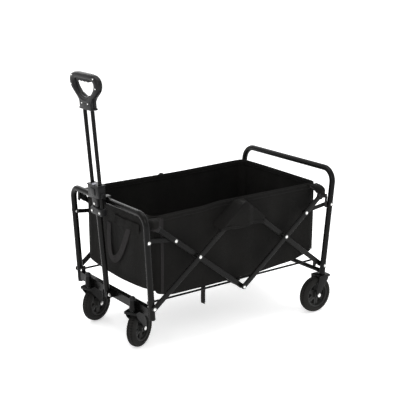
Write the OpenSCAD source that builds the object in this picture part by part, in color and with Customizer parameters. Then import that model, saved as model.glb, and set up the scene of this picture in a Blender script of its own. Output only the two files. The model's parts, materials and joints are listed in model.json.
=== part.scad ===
// Folding four-wheel camp wagon with a cloth tub, scissor sides and a telescopic pull handle.
// X runs from the pull end (-X) to the push end (+X), Y across, Z up, the ground at Z = 0.

/* [Scissor bars] */
// Lower pivot to crossing, along a bar
bar_low = 260; // [230:1:300]
// Crossing to apex, along a bar
bar_mid = 267; // [240:1:310]
// Crossing to the cloth's corner, along a bar
bar_top = 232; // [200:1:245]
// Angle of the bars to the ground when open
bar_angle = 37.9; // [32:0.1:42]
// Height of a flat bar's section
bar_w = 20; // [17:1:24]
// Thickness of a flat bar
bar_t = 10; // [8:1:12]
// Spacer bush between the two bar layers
bush_t = 6; // [4:1:8]
// Height of the lower pivots above the ground
pivot_z = 196; // [190:1:215]

/* [End frames] */
// Half the distance between the front legs
front_half = 262; // [220:1:300]
// Outer diameter of the frame tubes
tube_d = 24; // [21:1:27]
// Wall of the frame tubes
tube_wall = 1.5; // [1.2:0.1:2.5]
// Height of the front top bar's centre
front_top = 547; // [500:1:600]
// Height of the rear push bar's centre
rear_top = 592; // [560:1:660]
// Forward lean of the front frame, in degrees
lean_front = 3.2; // [2:0.1:6]
// Rearward lean of the rear frame, in degrees
lean_rear = 5.8; // [3:0.1:8]
// Centreline bend radius of the front frame
front_bend = 44; // [36:1:60]
// Centreline bend radius of the rear frame
rear_bend = 54; // [40:1:70]

/* [Links and rails] */
// Height of the front link's leg pivot above the lower pivot
link_front_h = 252; // [230:1:265]
// Height of the rear link's leg pivot above the lower pivot
link_rear_h = 258; // [235:1:270]
// Crossing to link pivot, along the front bar
link_front_bar = 124; // [110:1:135]
// Crossing to link pivot, along the rear bar
link_rear_bar = 131; // [115:1:140]
// Thickness of a link
link_t = 3; // [2:0.5:4]
// Height of the floor rails
rail_z = 206; // [203:1:209]
// Diameter of a floor rail
rail_d = 8; // [6:1:9]

/* [Tub] */
// Gap from the front legs' middle lines to the cloth tub's sides
tub_side_gap = 24; // [23:1:40]
// Height of the tub's top edge
tub_top = 540; // [480:1:560]
// Gap from the floor cross tube to the tub's underside
floor_gap = 14.3; // [13.3:0.1:26.3]
// Thickness of the cloth wall
cloth_t = 4; // [3:0.5:6]
// Gap from the lower pivots to the tub's end walls
tub_end_gap = 24; // [20:1:40]

/* [Wheels] */
// Wheel diameter over the tread
wheel_d = 150; // [130:1:150]
// Tyre width
tyre_w = 38; // [32:1:40]
// Rim diameter at the tyre's seat
rim_d = 104; // [90:1:108]
// Axle diameter
axle_d = 10; // [8:1:12]
// Distance of the caster's axle behind its swivel axis
trail = 47; // [28:1:50]
// Half the distance between the caster swivel axes
caster_half = 163; // [150:1:175]
// How far the near caster is turned at rest, in degrees
near_turn = 27; // [0:1:40]
// How far the far caster is turned at rest, in degrees
far_turn = 20; // [0:1:40]
// Distance of the rear axle ahead of the rear leg's foot
rear_axle_lead = 29; // [20:1:35]

/* [Pull handle] */
// How far the handle's hinge lies ahead of the front lower pivots
hinge_lead = 30; // [28:1:36]
// Height of the handle's hinge
hinge_z = 178; // [170:1:184]
// Forward lean of the handle at rest, in degrees
handle_lean = 4.6; // [4:0.1:6]
// Diameter of the single lower post
post_d = 22; // [18:1:24]
// Length of the lower post above its hinge
post_len = 424; // [400:1:426]
// Diameter of the two sliding rods
rod_d = 15; // [12:1:16]
// Half the distance between the sliding rods
rod_half = 27; // [25:1:30]
// Distance of the grip's lower edge along the handle
grip_low = 724; // [700:1:740]
// Overall width of the grip
grip_w = 202; // [150:1:215]
// Overall height of the grip
grip_h = 134; // [120:1:150]
// Depth of the grip, front to back
grip_t = 30; // [26:1:34]

/* [Hidden] */
$fn = 48;
fit = 0.05;        // radial clearance of a pin in its own body, and of a turning pin
gap = 0.6;         // side clearance between neighbouring layers
pin_r = 3;         // rivet and pivot pin radius
head_r = 6;        // rivet head radius
head_t = 2.4;      // rivet head height
plate_t = 3;       // pressed steel plate
tube_r = tube_d / 2;
bore_r = tube_r - tube_wall;
wheel_r = wheel_d / 2;
rim_r = rim_d / 2;
axle_r = axle_d / 2;

// side view: the scissor points, from the front lower pivot
reach = (bar_low + bar_mid) * cos(bar_angle);
grip_top = grip_low + grip_h;
nose = hinge_lead + grip_top * sin(handle_lean) + grip_t / 2 * cos(handle_lean);
rear_leg_len = (rear_top - pivot_z) / cos(lean_rear);
tail = 2 * reach + rear_leg_len * sin(lean_rear) + tube_r;
front_x = -(tail - nose) / 2;
rear_x = front_x + 2 * reach;
mid_x = front_x + reach;
cross_z = pivot_z + bar_low * sin(bar_angle);
apex_z = pivot_z + (bar_low + bar_mid) * sin(bar_angle);
low_z = pivot_z + (bar_low - bar_mid) * sin(bar_angle);
floor_tube_r = 7;
tub_half = front_half - tub_side_gap;
tub_bottom = low_z + floor_tube_r + floor_gap;
cross_front = front_x + bar_low * cos(bar_angle);
cross_rear = rear_x - bar_low * cos(bar_angle);

// layers across the wagon, as distances from its middle
outer_in = front_half + tube_r + gap;
outer_out = outer_in + bar_t;
inner_out = outer_in - bush_t;
inner_in = inner_out - bar_t;
rear_half = inner_out + gap + tube_r;
front_link_in = front_half - tube_r - gap - link_t;
rear_link_in = rear_half - tube_r - gap - link_t;
rail_front_y = tub_half - 2;
rail_rear_y = rail_front_y - rail_d - 1;
lug_out = rail_front_y + rail_d / 2 + gap + plate_t;   // outer face of the front rail lug
wheel_y = rear_half - 8;

// front beam, caster sleeves and legs
beam_h = 32;
beam_d = 22;
beam_top = pivot_z - head_r - 0.5;
beam_front = front_x - 6;
sleeve_r = 13;
sleeve_x = beam_front - sleeve_r - 0.5;
sleeve_top = 200;
sleeve_low = 158;
stem_r = 6;
leg_low = 45;      // front leg below its lower pivot, along the leg
crown_z = wheel_d + 4;
rear_leg_low = floor(10 * (pivot_z - crown_z - plate_t - tube_r * sin(lean_rear)) / cos(lean_rear)) / 10;
front_leg_len = (front_top - pivot_z) / cos(lean_front);
rear_foot_x = rear_x - rear_leg_low * sin(lean_rear);
rear_axle_x = rear_foot_x - rear_axle_lead;
rear_beam_z = 169;
rear_beam_r = 9;
rear_beam_x = rear_x - (pivot_z - rear_beam_z) * tan(lean_rear);

// handle, along the post from the hinge
collar_low = 358;
collar_high = 454;
block_low = 322;
block_high = 350;
hinge_x = front_x - hinge_lead;
hinge_r = 4;
button_s = 436;

function on_bar(x, z, angle, d) = [x + d * cos(angle), z + d * sin(angle)];
function arc(cx, cy, r, from, to, n) =
    [for (i = [0:n]) [cx + r * cos(from + (to - from) * i / n), cy + r * sin(from + (to - from) * i / n)]];
function slot_outline(len0, len1, w) =
    concat(arc(len1, 0, w / 2, -90, 90, 8), arc(len0, 0, w / 2, 90, 270, 8));

// what lies on both sides of the wagon
module both_sides() {
    children();
    mirror([0, 1, 0]) children();
}

// a cylinder across the wagon, from y0 to y1
module cross_pin(p, y0, y1, r) {
    translate([p[0], y0, p[1]]) rotate([-90, 0, 0]) cylinder(r = r, h = y1 - y0);
}

// a low domed head whose flat face lies at y, standing out along dir
module rivet_head(p, y, dir, r = head_r, t = head_t) {
    translate([p[0], y, p[1]]) rotate([-90 * dir, 0, 0]) union() {
        cylinder(r = r, h = t * 0.5);
        translate([0, 0, t * 0.5]) cylinder(r1 = r, r2 = r * 0.55, h = t * 0.5, $fn = 32);
    }
}

// a rivet through y0..y1, with a head outside each end
module rivet(p, y0, y1, r = pin_r) {
    cross_pin(p, y0, y1, r);
    rivet_head(p, y1, 1, r * 2);
    rivet_head(p, y0, -1, r * 2);
}

// a flat bar with round ends in the side plane, with holes at distances along it
module flat_bar(p, angle, len0, len1, y0, t, w, holes, r = pin_r + fit) {
    translate([p[0], y0 + t, p[1]]) rotate([90, 0, 0]) rotate([0, 0, angle]) linear_extrude(t) difference() {
        polygon(slot_outline(len0, len1, w));
        for (d = holes) translate([d, 0]) circle(r = r);
    }
}

module front_place() { translate([front_x, 0, pivot_z]) rotate([0, -lean_front, 0]) children(); }
module rear_place() { translate([rear_x, 0, pivot_z]) rotate([0, lean_rear, 0]) children(); }
module handle_place() { translate([hinge_x, 0, hinge_z]) rotate([0, -handle_lean, 0]) children(); }

// an upside-down U of round bar: half width, foot, crown height, bend radius, bar radius
module u_bar(half, low, high, bend, r) {
    both_sides() {
        translate([0, half, -low]) cylinder(r = r, h = low + high - bend);
        translate([0, half - bend, high - bend]) rotate([90, 0, 90])
            rotate_extrude(angle = 90) translate([bend, 0]) circle(r = r);
    }
    translate([0, -(half - bend), high]) rotate([-90, 0, 0]) cylinder(r = r, h = 2 * (half - bend));
}

module u_frame(half, low, high, bend, holes) {
    difference() {
        u_bar(half, low, high, bend, tube_r);
        u_bar(half, low + 1, high, bend, bore_r);
        for (h = holes) both_sides()
            translate([0, half - tube_r - 1, h]) rotate([-90, 0, 0]) cylinder(r = pin_r + fit, h = tube_d + 2);
    }
}

// ---- front frame ----
module front_frame() color("#222324") front_place()
    u_frame(front_half, leg_low, front_leg_len, front_bend, [0, link_front_h]);

module front_beam() color("#202122") difference() {
    translate([beam_front, -(front_half - tube_r - fit), beam_top - beam_h])
        cube([beam_d, 2 * (front_half - tube_r - fit), beam_h]);
    translate([beam_front + 2, -front_half, beam_top - beam_h + 2]) cube([beam_d - 4, 2 * front_half, beam_h - 4]);
    for (y = [-caster_half, caster_half]) cross_hole_x(y);
}

// through hole for a sleeve's fixing screw, along X
module cross_hole_x(y) {
    translate([beam_front - 1, y, beam_top - beam_h / 2]) rotate([0, 90, 0]) cylinder(r = 2.5, h = beam_d + 2);
}

module caster_sleeves() color("#2a2b2c") both_sides() difference() {
    union() {
        translate([sleeve_x, caster_half, sleeve_low]) cylinder(r = sleeve_r, h = sleeve_top - sleeve_low);
        translate([sleeve_x, caster_half - 9, beam_top - beam_h + 2])
            cube([beam_front - sleeve_x, 18, beam_h - 4]);
    }
    translate([sleeve_x, caster_half, sleeve_low - 1])
        cylinder(r = stem_r + fit, h = sleeve_top - sleeve_low + 2);
}

module sleeve_caps() color("#303132") both_sides() translate([sleeve_x, caster_half, sleeve_top]) difference() {
    rotate_extrude() polygon(concat([[0, 0]], [[sleeve_r - 0.4, 0]],
        arc(0, 3, sleeve_r - 0.4, 0, 90, 8)));
    translate([0, 0, -1]) cylinder(r = stem_r + 2.5, h = 7);
}

module handle_bracket() color("#262728") difference() {
    union() {
        both_sides() translate([hinge_x - 12, post_d / 2 + 1, hinge_z - 14])
            cube([beam_front - hinge_x + 12, plate_t, 28]);
        translate([beam_front - plate_t, -(post_d / 2 + 1), hinge_z - 14])
            cube([plate_t, post_d + 2, 28]);
    }
    cross_pin([hinge_x, hinge_z], -40, 40, hinge_r + fit);
}

module handle_hinge_bolt() color("silver") {
    cross_pin([hinge_x, hinge_z], -(post_d / 2 + 1 + plate_t), post_d / 2 + 1 + plate_t, hinge_r);
    rivet_head([hinge_x, hinge_z], post_d / 2 + 1 + plate_t, 1, 7, 4);
    rivet_head([hinge_x, hinge_z], -(post_d / 2 + 1 + plate_t), -1, 7, 4);
}

module leg_plug(r) {
    cylinder(r = r, h = 14);
    translate([0, 0, -3]) cylinder(r = tube_r, h = 3);
}

module front_leg_plugs() color("#1b1b1b") front_place() both_sides()
    translate([0, front_half, -leg_low]) leg_plug(bore_r - fit);

// pivot bolt of the outer bars, through each front leg
module front_pivot_bolts() color("silver") both_sides() {
    p = [front_x, pivot_z];
    cross_pin(p, front_half - tube_r, outer_out, pin_r);
    rivet_head(p, outer_out + fit, 1);
    rivet_head(p, front_half - tube_r, -1, head_r, front_half - tube_r - lug_out - 0.4);
}

module front_link_rivets() color("silver") both_sides() {
    p = [front_x - link_front_h * sin(lean_front), pivot_z + link_front_h * cos(lean_front)];
    cross_pin(p, front_link_in, front_half + tube_r, pin_r);
    rivet_head(p, front_half + tube_r, 1);
    rivet_head(p, front_link_in - fit, -1);
}

// upright plate with the pin that a floor rail turns on
module rail_lug(x, low, y) {
    translate([x - 8, y + rail_d / 2 + gap, low]) cube([16, plate_t, rail_z + 8 - low]);
    cross_pin([x, rail_z], y - rail_d / 2 - 1.2, y + rail_d / 2 + gap + 1, 2);
}

module front_rail_lugs() color("#262728") both_sides()
    rail_lug(front_x + 5, beam_top, rail_front_y);

// ---- scissor bars: the outer front bar runs from the lower pivot to the apex ----
module bars_outer_front() color("#2b2c2d") both_sides()
    flat_bar([front_x, pivot_z], bar_angle, 0, bar_low + bar_mid, outer_in, bar_t, bar_w,
        [0, bar_low, bar_low + bar_mid]);

module bars_inner_front() color("#2b2c2d") both_sides()
    flat_bar([mid_x, low_z], 180 - bar_angle, 0, bar_mid + bar_top, inner_in, bar_t, bar_w, [0, bar_mid]);

module bars_outer_rear() color("#2b2c2d") both_sides()
    flat_bar([mid_x, low_z], bar_angle, 0, bar_mid + bar_top, outer_in, bar_t, bar_w, [0, bar_mid]);

module bars_inner_rear() color("#2b2c2d") both_sides()
    flat_bar([rear_x, pivot_z], 180 - bar_angle, 0, bar_low + bar_mid, inner_in, bar_t, bar_w,
        [0, bar_low, bar_low + bar_mid]);

// a rivet through both bar layers, with the spacer bush between them
module layer_rivet(p) {
    rivet(p, inner_in - fit, outer_out + fit);
    cross_pin(p, inner_out + fit, outer_in - fit, 7);
}

module scissor_rivets_front() color("silver") both_sides() {
    layer_rivet([cross_front, cross_z]);
    layer_rivet([mid_x, apex_z]);
}

module scissor_rivets_rear() color("silver") both_sides() layer_rivet([cross_rear, cross_z]);

// tube across the wagon at the bottom middle pivots, with its pivot ends
module floor_cross_tube() color("#232425") {
    difference() {
        cross_pin([mid_x, low_z], -(inner_in - fit), inner_in - fit, floor_tube_r);
        both_sides() cross_pin([mid_x, low_z], inner_in - 30, inner_in + 1, pin_r);
    }
    both_sides() {
        cross_pin([mid_x, low_z], inner_in - 30, outer_out + 0.3, pin_r - 0.3 + fit);
        rivet_head([mid_x, low_z], outer_out + 0.3, 1);
    }
}

// plastic cap that holds the cloth's corner on a bar end, in bar coordinates
module corner_cap() {
    len = bar_mid + bar_top + bar_w / 2;
    difference() {
        translate([len - 26, -bar_w / 2 - 2, -2]) cube([30, bar_w + 4, bar_t + 4]);
        translate([len - 27, -bar_w / 2 - fit, -fit]) cube([28, bar_w + 2 * fit, bar_t + 2 * fit]);
    }
}

module caps_place(angle, y0) {
    both_sides() translate([mid_x, y0 + bar_t, low_z]) rotate([90, 0, 0]) rotate([0, 0, angle]) corner_cap();
}

module front_corner_caps() color("#1d1d1e") caps_place(180 - bar_angle, inner_in);
module rear_corner_caps() color("#1d1d1e") caps_place(bar_angle, outer_in);

// ---- short links and floor rails ----
front_link_leg = [front_x - link_front_h * sin(lean_front), pivot_z + link_front_h * cos(lean_front)];
front_link_end = on_bar(cross_front, cross_z, 180 - bar_angle, link_front_bar);
rear_link_leg = [rear_x + link_rear_h * sin(lean_rear), pivot_z + link_rear_h * cos(lean_rear)];
rear_link_end = on_bar(cross_rear, cross_z, bar_angle, link_rear_bar);

module link(a, b, y0) {
    len = norm(b - a);
    flat_bar(a, atan2(b[1] - a[1], b[0] - a[0]), 0, len, y0, link_t, 16, [0]);
}

module front_links() color("#2b2c2d") both_sides() {
    link(front_link_leg, front_link_end, front_link_in);
    rivet_head(front_link_end, front_link_in, -1);
    cross_pin(front_link_end, front_link_in + link_t, inner_in - gap, 5);
}

module rear_links() color("#2b2c2d") both_sides() {
    link(rear_link_leg, rear_link_end, rear_link_in);
    rivet_head(rear_link_end, rear_link_in, -1);
    cross_pin(rear_link_end, rear_link_in + link_t, outer_in - gap, 5);
}

// half a floor rail: round bar with a flat pivot eye
module rail(x, dir, half_y, len) {
    both_sides() difference() {
        union() {
            cross_pin([x, rail_z], half_y - rail_d / 2 + 0.5, half_y + rail_d / 2 - 0.5, 6);
            translate([x + dir * 4, half_y, rail_z]) rotate([0, 90 * dir, 0]) cylinder(r = rail_d / 2, h = len - 4);
        }
        cross_pin([x, rail_z], half_y - rail_d, half_y + rail_d, 2 + fit);
    }
}

module front_rails() color("#2d2e2f") rail(front_x + 5, 1, rail_front_y, mid_x - front_x + 8);
module rear_rails() color("#2d2e2f") rail(rear_beam_x, -1, rail_rear_y, rear_beam_x - mid_x + 8);

// ---- rear frame ----
module rear_frame() color("#222324") rear_place()
    u_frame(rear_half, rear_leg_low, rear_leg_len, rear_bend, [0, link_rear_h]);

module rear_crossbar() color("#202122") difference() {
    cross_pin([rear_beam_x, rear_beam_z], -(rear_half - tube_r - fit), rear_half - tube_r - fit, rear_beam_r);
    cross_pin([rear_beam_x, rear_beam_z], -rear_half, rear_half, rear_beam_r - tube_wall);
}

module rear_leg_rivets() color("silver") both_sides() {
    cross_pin([rear_x, pivot_z], inner_in - fit, rear_half + tube_r, pin_r);
    rivet_head([rear_x, pivot_z], rear_half + tube_r, 1);
    rivet_head([rear_x, pivot_z], inner_in - fit, -1);
    cross_pin(rear_link_leg, rear_link_in - fit, rear_half + tube_r, pin_r);
    rivet_head(rear_link_leg, rear_half + tube_r, 1);
    rivet_head(rear_link_leg, rear_link_in - fit, -1);
}

module rear_rail_lugs() color("#262728") both_sides()
    rail_lug(rear_beam_x, rear_beam_z + rear_beam_r + fit, rail_rear_y);

// fork cheek in the side plane: wide at the crown, narrow at the axle
module cheek(crown_x, axle_x, y0) {
    translate([0, y0 + plate_t, 0]) rotate([90, 0, 0]) linear_extrude(plate_t) difference() {
        polygon(concat([[crown_x - 22, crown_z], [crown_x + 22, crown_z], [crown_x + 19, crown_z - 18]],
            arc(axle_x, wheel_r, 11, 20, -200, 12), [[crown_x - 19, crown_z - 16]]));
        translate([axle_x, wheel_r]) circle(r = axle_r + fit);
    }
}

// a fork round one wheel: crown plate and two cheeks
module fork(crown_x, axle_x) {
    inner = tyre_w / 2 + 3;
    translate([crown_x - 26, -(inner + plate_t), crown_z]) cube([52, 2 * (inner + plate_t), plate_t]);
    cheek(crown_x, axle_x, inner);
    cheek(crown_x, axle_x, -(inner + plate_t));
}

module wheel_axle() {
    end = tyre_w / 2 + 3 + plate_t;
    rotate([-90, 0, 0]) translate([0, 0, -end]) cylinder(r = axle_r, h = 2 * end);
    for (dir = [-1, 1]) {
        rivet_head([0, 0], dir * end, dir, 8, 5);
        translate([0, dir > 0 ? tyre_w / 2 + fit : -tyre_w / 2 - 3 + fit, 0]) rotate([-90, 0, 0]) difference() {
            cylinder(r = 8.5, h = 3 - 2 * fit);
            translate([0, 0, -1]) cylinder(r = axle_r + fit, h = 5);
        }
    }
}

// wheel parts, the axle along Y at the origin
module rim() {
    rotate([-90, 0, 0]) difference() {
        rotate_extrude($fn = 72) polygon([[axle_r + fit, -tyre_w / 2], [15, -tyre_w / 2], [17, -6],
            [rim_r - 8, -4], [rim_r - 6, -tyre_w / 2 + 3], [rim_r, -tyre_w / 2 + 3], [rim_r, tyre_w / 2 - 3],
            [rim_r - 6, tyre_w / 2 - 3], [rim_r - 8, 4], [17, 6], [15, tyre_w / 2], [axle_r + fit, tyre_w / 2]]);
        for (i = [0:5]) rotate([0, 0, 60 * i]) translate([0, 0, -10]) linear_extrude(20)
            polygon([[21, -3], [rim_r - 11, -13], [rim_r - 9, 0], [rim_r - 11, 13], [21, 3]]);
    }
}

module tyre() {
    half = tyre_w / 2;
    rotate([-90, 0, 0]) rotate_extrude($fn = 72) polygon([[rim_r + fit, -half + 3], [rim_r + 3, -half],
        [wheel_r - 6, -half], [wheel_r - 1.5, -half + 5], [wheel_r, -half + 12], [wheel_r, half - 12],
        [wheel_r - 1.5, half - 5], [wheel_r - 6, half], [rim_r + 3, half], [rim_r + fit, half - 3]]);
}

module rear_wheel_place(side) { translate([rear_axle_x, side * wheel_y, wheel_r]) children(); }

// each rear fork stands on a spigot inside its leg
module rear_forks() color("#2c2d2e") both_sides() {
    translate([0, wheel_y, 0]) fork(rear_foot_x, rear_axle_x);
    rear_place() translate([0, rear_half, -rear_leg_low - 3]) cylinder(r = bore_r - fit, h = 22);
}
module rear_axles() color("silver") for (side = [-1, 1]) rear_wheel_place(side) wheel_axle();
module rear_rim_near() color("#2a2a2a") rear_wheel_place(-1) rim();
module rear_rim_far() color("#2a2a2a") rear_wheel_place(1) rim();
module rear_tyre_near() color("#3a3836") rear_wheel_place(-1) tyre();
module rear_tyre_far() color("#3a3836") rear_wheel_place(1) tyre();

// ---- casters ----
module caster_place(side, turn) { translate([sleeve_x, side * caster_half, 0]) rotate([0, 0, turn]) children(); }

module caster_fork() difference() {
    fork(0, trail);
    translate([0, 0, crown_z - 1]) cylinder(r = stem_r + fit, h = plate_t + 2);
}

// kingpin with its flange, the thrust washer on the crown and the retaining ring on top
module caster_stem() {
    translate([0, 0, crown_z - 1]) cylinder(r = stem_r, h = sleeve_top + 2.6 - crown_z + 1);
    translate([0, 0, crown_z - 2.6]) cylinder(r = 9, h = 1.6);
    translate([0, 0, crown_z + plate_t + fit]) cylinder(r = 12, h = sleeve_low - crown_z - plate_t - 0.4);
    translate([0, 0, sleeve_top + 0.4]) cylinder(r = 7.6, h = 2);
}

module caster_fork_near() color("#2c2d2e") caster_place(-1, near_turn) caster_fork();
module caster_fork_far() color("#2c2d2e") caster_place(1, far_turn) caster_fork();
module caster_stem_near() color("silver") caster_place(-1, near_turn) caster_stem();
module caster_stem_far() color("silver") caster_place(1, far_turn) caster_stem();
module caster_axle_near() color("silver") caster_place(-1, near_turn) translate([trail, 0, wheel_r]) wheel_axle();
module caster_axle_far() color("silver") caster_place(1, far_turn) translate([trail, 0, wheel_r]) wheel_axle();
module caster_rim_near() color("#2a2a2a") caster_place(-1, near_turn) translate([trail, 0, wheel_r]) rim();
module caster_rim_far() color("#2a2a2a") caster_place(1, far_turn) translate([trail, 0, wheel_r]) rim();
module caster_tyre_near() color("#3a3836") caster_place(-1, near_turn) translate([trail, 0, wheel_r]) tyre();
module caster_tyre_far() color("#3a3836") caster_place(1, far_turn) translate([trail, 0, wheel_r]) tyre();

// ---- pull handle ----
module handle_post() color("#222324") handle_place() difference() {
    translate([0, 0, -11]) cylinder(r = post_d / 2, h = post_len + 11);
    translate([0, 0, 16]) cylinder(r = post_d / 2 - tube_wall, h = post_len);
    cross_pin([0, 0], -post_d, post_d, hinge_r + fit);
    collar_bolt_shape(2 + fit, post_d);
}

// the front frame's top bar, seen along the handle
bar_rise = (front_top - hinge_z) * cos(handle_lean) - (front_x - front_leg_len * sin(lean_front) - hinge_x) * sin(handle_lean);
bar_back = (front_x - front_leg_len * sin(lean_front) - hinge_x) * cos(handle_lean) + (front_top - hinge_z) * sin(handle_lean);

module handle_collar() color("#353638") handle_place() difference() {
    union() {
        translate([-17, -(rod_half + 15), collar_low + 22]) cube([34, 2 * (rod_half + 15), collar_high - collar_low - 22]);
        translate([-15, -18, collar_low]) cube([30, 36, 22]);
        translate([17, -14, bar_rise + tube_r + 2]) cube([bar_back - 5, 28, 6]);
        translate([15, -14, bar_rise - 10]) cube([bar_back - tube_r - gap - 15, 28, 20]);
    }
    translate([0, 0, collar_low - 1]) cylinder(r = post_d / 2 + fit, h = post_len - collar_low + 1 + fit);
    for (y = [-rod_half, rod_half]) translate([0, y, collar_low - 1])
        cylinder(r = rod_d / 2 + 0.4, h = collar_high - collar_low + 2);
    translate([-18, -8.3, button_s - 8.3]) cube([9.3, 16.6, 16.6]);
    collar_bolt_shape(2 + fit, 30);
}

module collar_bolt_shape(r, half) {
    translate([-half, 0, collar_low + 11]) rotate([0, 90, 0]) cylinder(r = r, h = 2 * half);
}

module collar_bolts() color("silver") handle_place() {
    collar_bolt_shape(2, 15);
    translate([-17.5, 0, collar_low + 11]) rotate([0, 90, 0]) cylinder(r = 4.5, h = 2.5);
}

module release_button() color("#8d8d92") handle_place() translate([-19, -8, button_s - 8]) cube([6, 16, 16]);

module sliding_rods() color("#222324") handle_place() for (y = [-rod_half, rod_half]) difference() {
    translate([0, y, block_low + 4]) cylinder(r = rod_d / 2, h = grip_low + 22 - block_low - 4);
    translate([0, y, block_low + 10]) cylinder(r = rod_d / 2 - 1.2, h = grip_low - block_low);
    translate([-rod_d, y, (block_low + block_high) / 2]) rotate([0, 90, 0]) cylinder(r = 2 + fit, h = 2 * rod_d);
}

module slider_block() color("#353638") handle_place() difference() {
    translate([-13, -(rod_half + 12), block_low]) cube([26, 2 * (rod_half + 12), block_high - block_low]);
    translate([0, 0, block_low - 1]) cylinder(r = post_d / 2 + 0.4, h = block_high - block_low + 2);
    for (y = [-rod_half, rod_half]) {
        translate([0, y, block_low + 4 - fit]) cylinder(r = rod_d / 2 + fit, h = block_high - block_low);
        translate([-20, y, (block_low + block_high) / 2]) rotate([0, 90, 0]) cylinder(r = 2 + fit, h = 40);
    }
}

module slider_bolts() color("silver") handle_place() for (y = [-rod_half, rod_half])
    translate([0, y, (block_low + block_high) / 2]) rotate([0, 90, 0]) {
        translate([0, 0, -13]) cylinder(r = 2, h = 26);
        for (dir = [0, 1]) mirror([0, 0, dir]) translate([0, 0, 13]) cylinder(r = 4.5, h = 2.5);
    }

// the grip's outline across the handle (Y) and along it
module grip_outline(inset) {
    hull() {
        for (y = [-1, 1]) translate([y * (grip_w / 2 - 30), grip_top - 30]) circle(r = 30 - inset, $fn = 28);
        for (y = [-1, 1]) translate([y * 26, grip_low + 26]) circle(r = max(26 - inset, 3), $fn = 28);
    }
}

module grip_ring() difference() {
    union() {
        grip_outline(0);
        translate([-(rod_half + 13), grip_low]) square([2 * (rod_half + 13), 24]);
    }
    translate([0, 8]) intersection() {
        grip_outline(26);
        translate([-grip_w, grip_low + 38]) square([2 * grip_w, grip_h]);
    }
}

// half of the grip's depth: side 1 faces forward, side 0 faces the wagon
module grip_half(side) handle_place() difference() {
    mirror([side, 0, 0]) translate([fit, 0, 0]) rotate([90, 0, 90]) linear_extrude(grip_t / 2 - fit) grip_ring();
    for (y = [-rod_half, rod_half]) translate([0, y, grip_low - 1]) cylinder(r = rod_d / 2 + fit, h = 23 + fit);
    for (p = grip_screw_points) translate([-grip_t, p[0], p[1]]) rotate([0, 90, 0]) cylinder(r = 1.5 + fit, h = 2 * grip_t);
}

grip_screw_points = [for (y = [-1, 1], p = [[grip_w / 2 - 26, grip_top - 13], [grip_w / 2 - 13, grip_top - 40],
    [rod_half - 6, grip_low + 33]]) [y * p[0], p[1]]];

module grip_front_shell() color("#3c3d3f") grip_half(1);
module grip_rear_shell() color("#3c3d3f") grip_half(0);

// soft ribbed pad under the top of the grip
module grip_insert() color("#4b4c4e") handle_place()
    translate([-grip_t / 2 + 3, -52, grip_top - 21.6]) cube([grip_t - 6, 104, 3]);

module grip_screws() color("silver") handle_place() for (p = grip_screw_points)
    translate([0, p[0], p[1]]) rotate([0, 90, 0]) {
        translate([0, 0, -grip_t / 2]) cylinder(r = 1.5, h = grip_t);
        translate([0, 0, -grip_t / 2 - 1]) cylinder(r = 3, h = 1);
    }

// ---- cloth ----
tub_front = front_x + tub_end_gap;
tub_rear = rear_x - tub_end_gap;

module tub_plan(inset) {
    c = 22;
    polygon([[tub_front + inset, -tub_half + c], [tub_front + c, -tub_half + inset], [tub_rear - c, -tub_half + inset],
        [tub_rear - inset, -tub_half + c], [tub_rear - inset, tub_half - c], [tub_rear - c, tub_half - inset],
        [tub_front + c, tub_half - inset], [tub_front + inset, tub_half - c]]);
}

module tub_cloth() color("#17181a") difference() {
    translate([0, 0, tub_bottom]) linear_extrude(tub_top - tub_bottom) tub_plan(0);
    translate([0, 0, tub_bottom + cloth_t]) linear_extrude(tub_top) tub_plan(cloth_t);
}

// four stiff panels under the tub's padded floor
module floor_boards() color("#1d1d1d") {
    len = (tub_rear - tub_front - 2 * cloth_t - 20) / 4;
    for (i = [0:3]) translate([tub_front + cloth_t + 4 + i * (len + 4), -tub_half + 28, tub_bottom + cloth_t + 0.3])
        cube([len, 2 * (tub_half - 28), 5]);
}

// cloth pocket over the two bar ends at each apex
module apex_pockets() color("#1b1b1c") both_sides() {
    w = 62;
    low = apex_z - 66;
    depth = outer_out + 7 - tub_half;
    translate([mid_x - w, tub_half + fit, low]) difference() {
        cube([2 * w, depth, tub_top - low]);
        translate([-1, -1, -1]) cube([2 * w + 2, depth - 1, tub_top - low - 2]);
    }
}

// webbing tabs that tie the tub's top corners to the bar ends
module corner_tabs() color("#3a3a3c") both_sides() {
    translate([tub_front + 2, tub_half + fit, tub_top - 30]) cube([26, inner_in - 2.6 - tub_half, 26]);
    translate([tub_rear - 28, tub_half + fit, tub_top - 30]) cube([26, inner_in - 2.6 - tub_half, 26]);
}

// U of webbing sewn on the front wall
module front_loop() color("#2a2a2b") {
    for (y = [-86, 56]) translate([tub_front - 2.4, y, 330]) cube([2.2, 30, 135]);
    translate([tub_front - 2.4, -56, 330]) cube([2.2, 112, 30]);
}

// short strap that hangs from the floor and ties the folded wagon
module closing_strap() color("#2f2f30")
    translate([mid_x - 150, -(tub_half - 8), tub_bottom - 74]) cube([2.2, 25, 73.7]);

front_frame();
front_beam();
caster_sleeves();
sleeve_caps();
handle_bracket();
handle_hinge_bolt();
front_leg_plugs();
front_pivot_bolts();
front_link_rivets();
front_rail_lugs();
bars_outer_front();
scissor_rivets_front();
bars_inner_front();
floor_cross_tube();
front_corner_caps();
bars_inner_rear();
scissor_rivets_rear();
bars_outer_rear();
rear_corner_caps();
front_links();
rear_links();
front_rails();
rear_rails();
rear_frame();
rear_crossbar();
rear_leg_rivets();
rear_rail_lugs();
rear_forks();
rear_axles();
rear_rim_near();
rear_tyre_near();
rear_rim_far();
rear_tyre_far();
caster_fork_near();
caster_stem_near();
caster_axle_near();
caster_rim_near();
caster_tyre_near();
caster_fork_far();
caster_stem_far();
caster_axle_far();
caster_rim_far();
caster_tyre_far();
handle_post();
handle_collar();
collar_bolts();
sliding_rods();
slider_block();
slider_bolts();
grip_front_shell();
grip_rear_shell();
grip_insert();
grip_screws();
release_button();
tub_cloth();
floor_boards();
apex_pockets();
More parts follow.
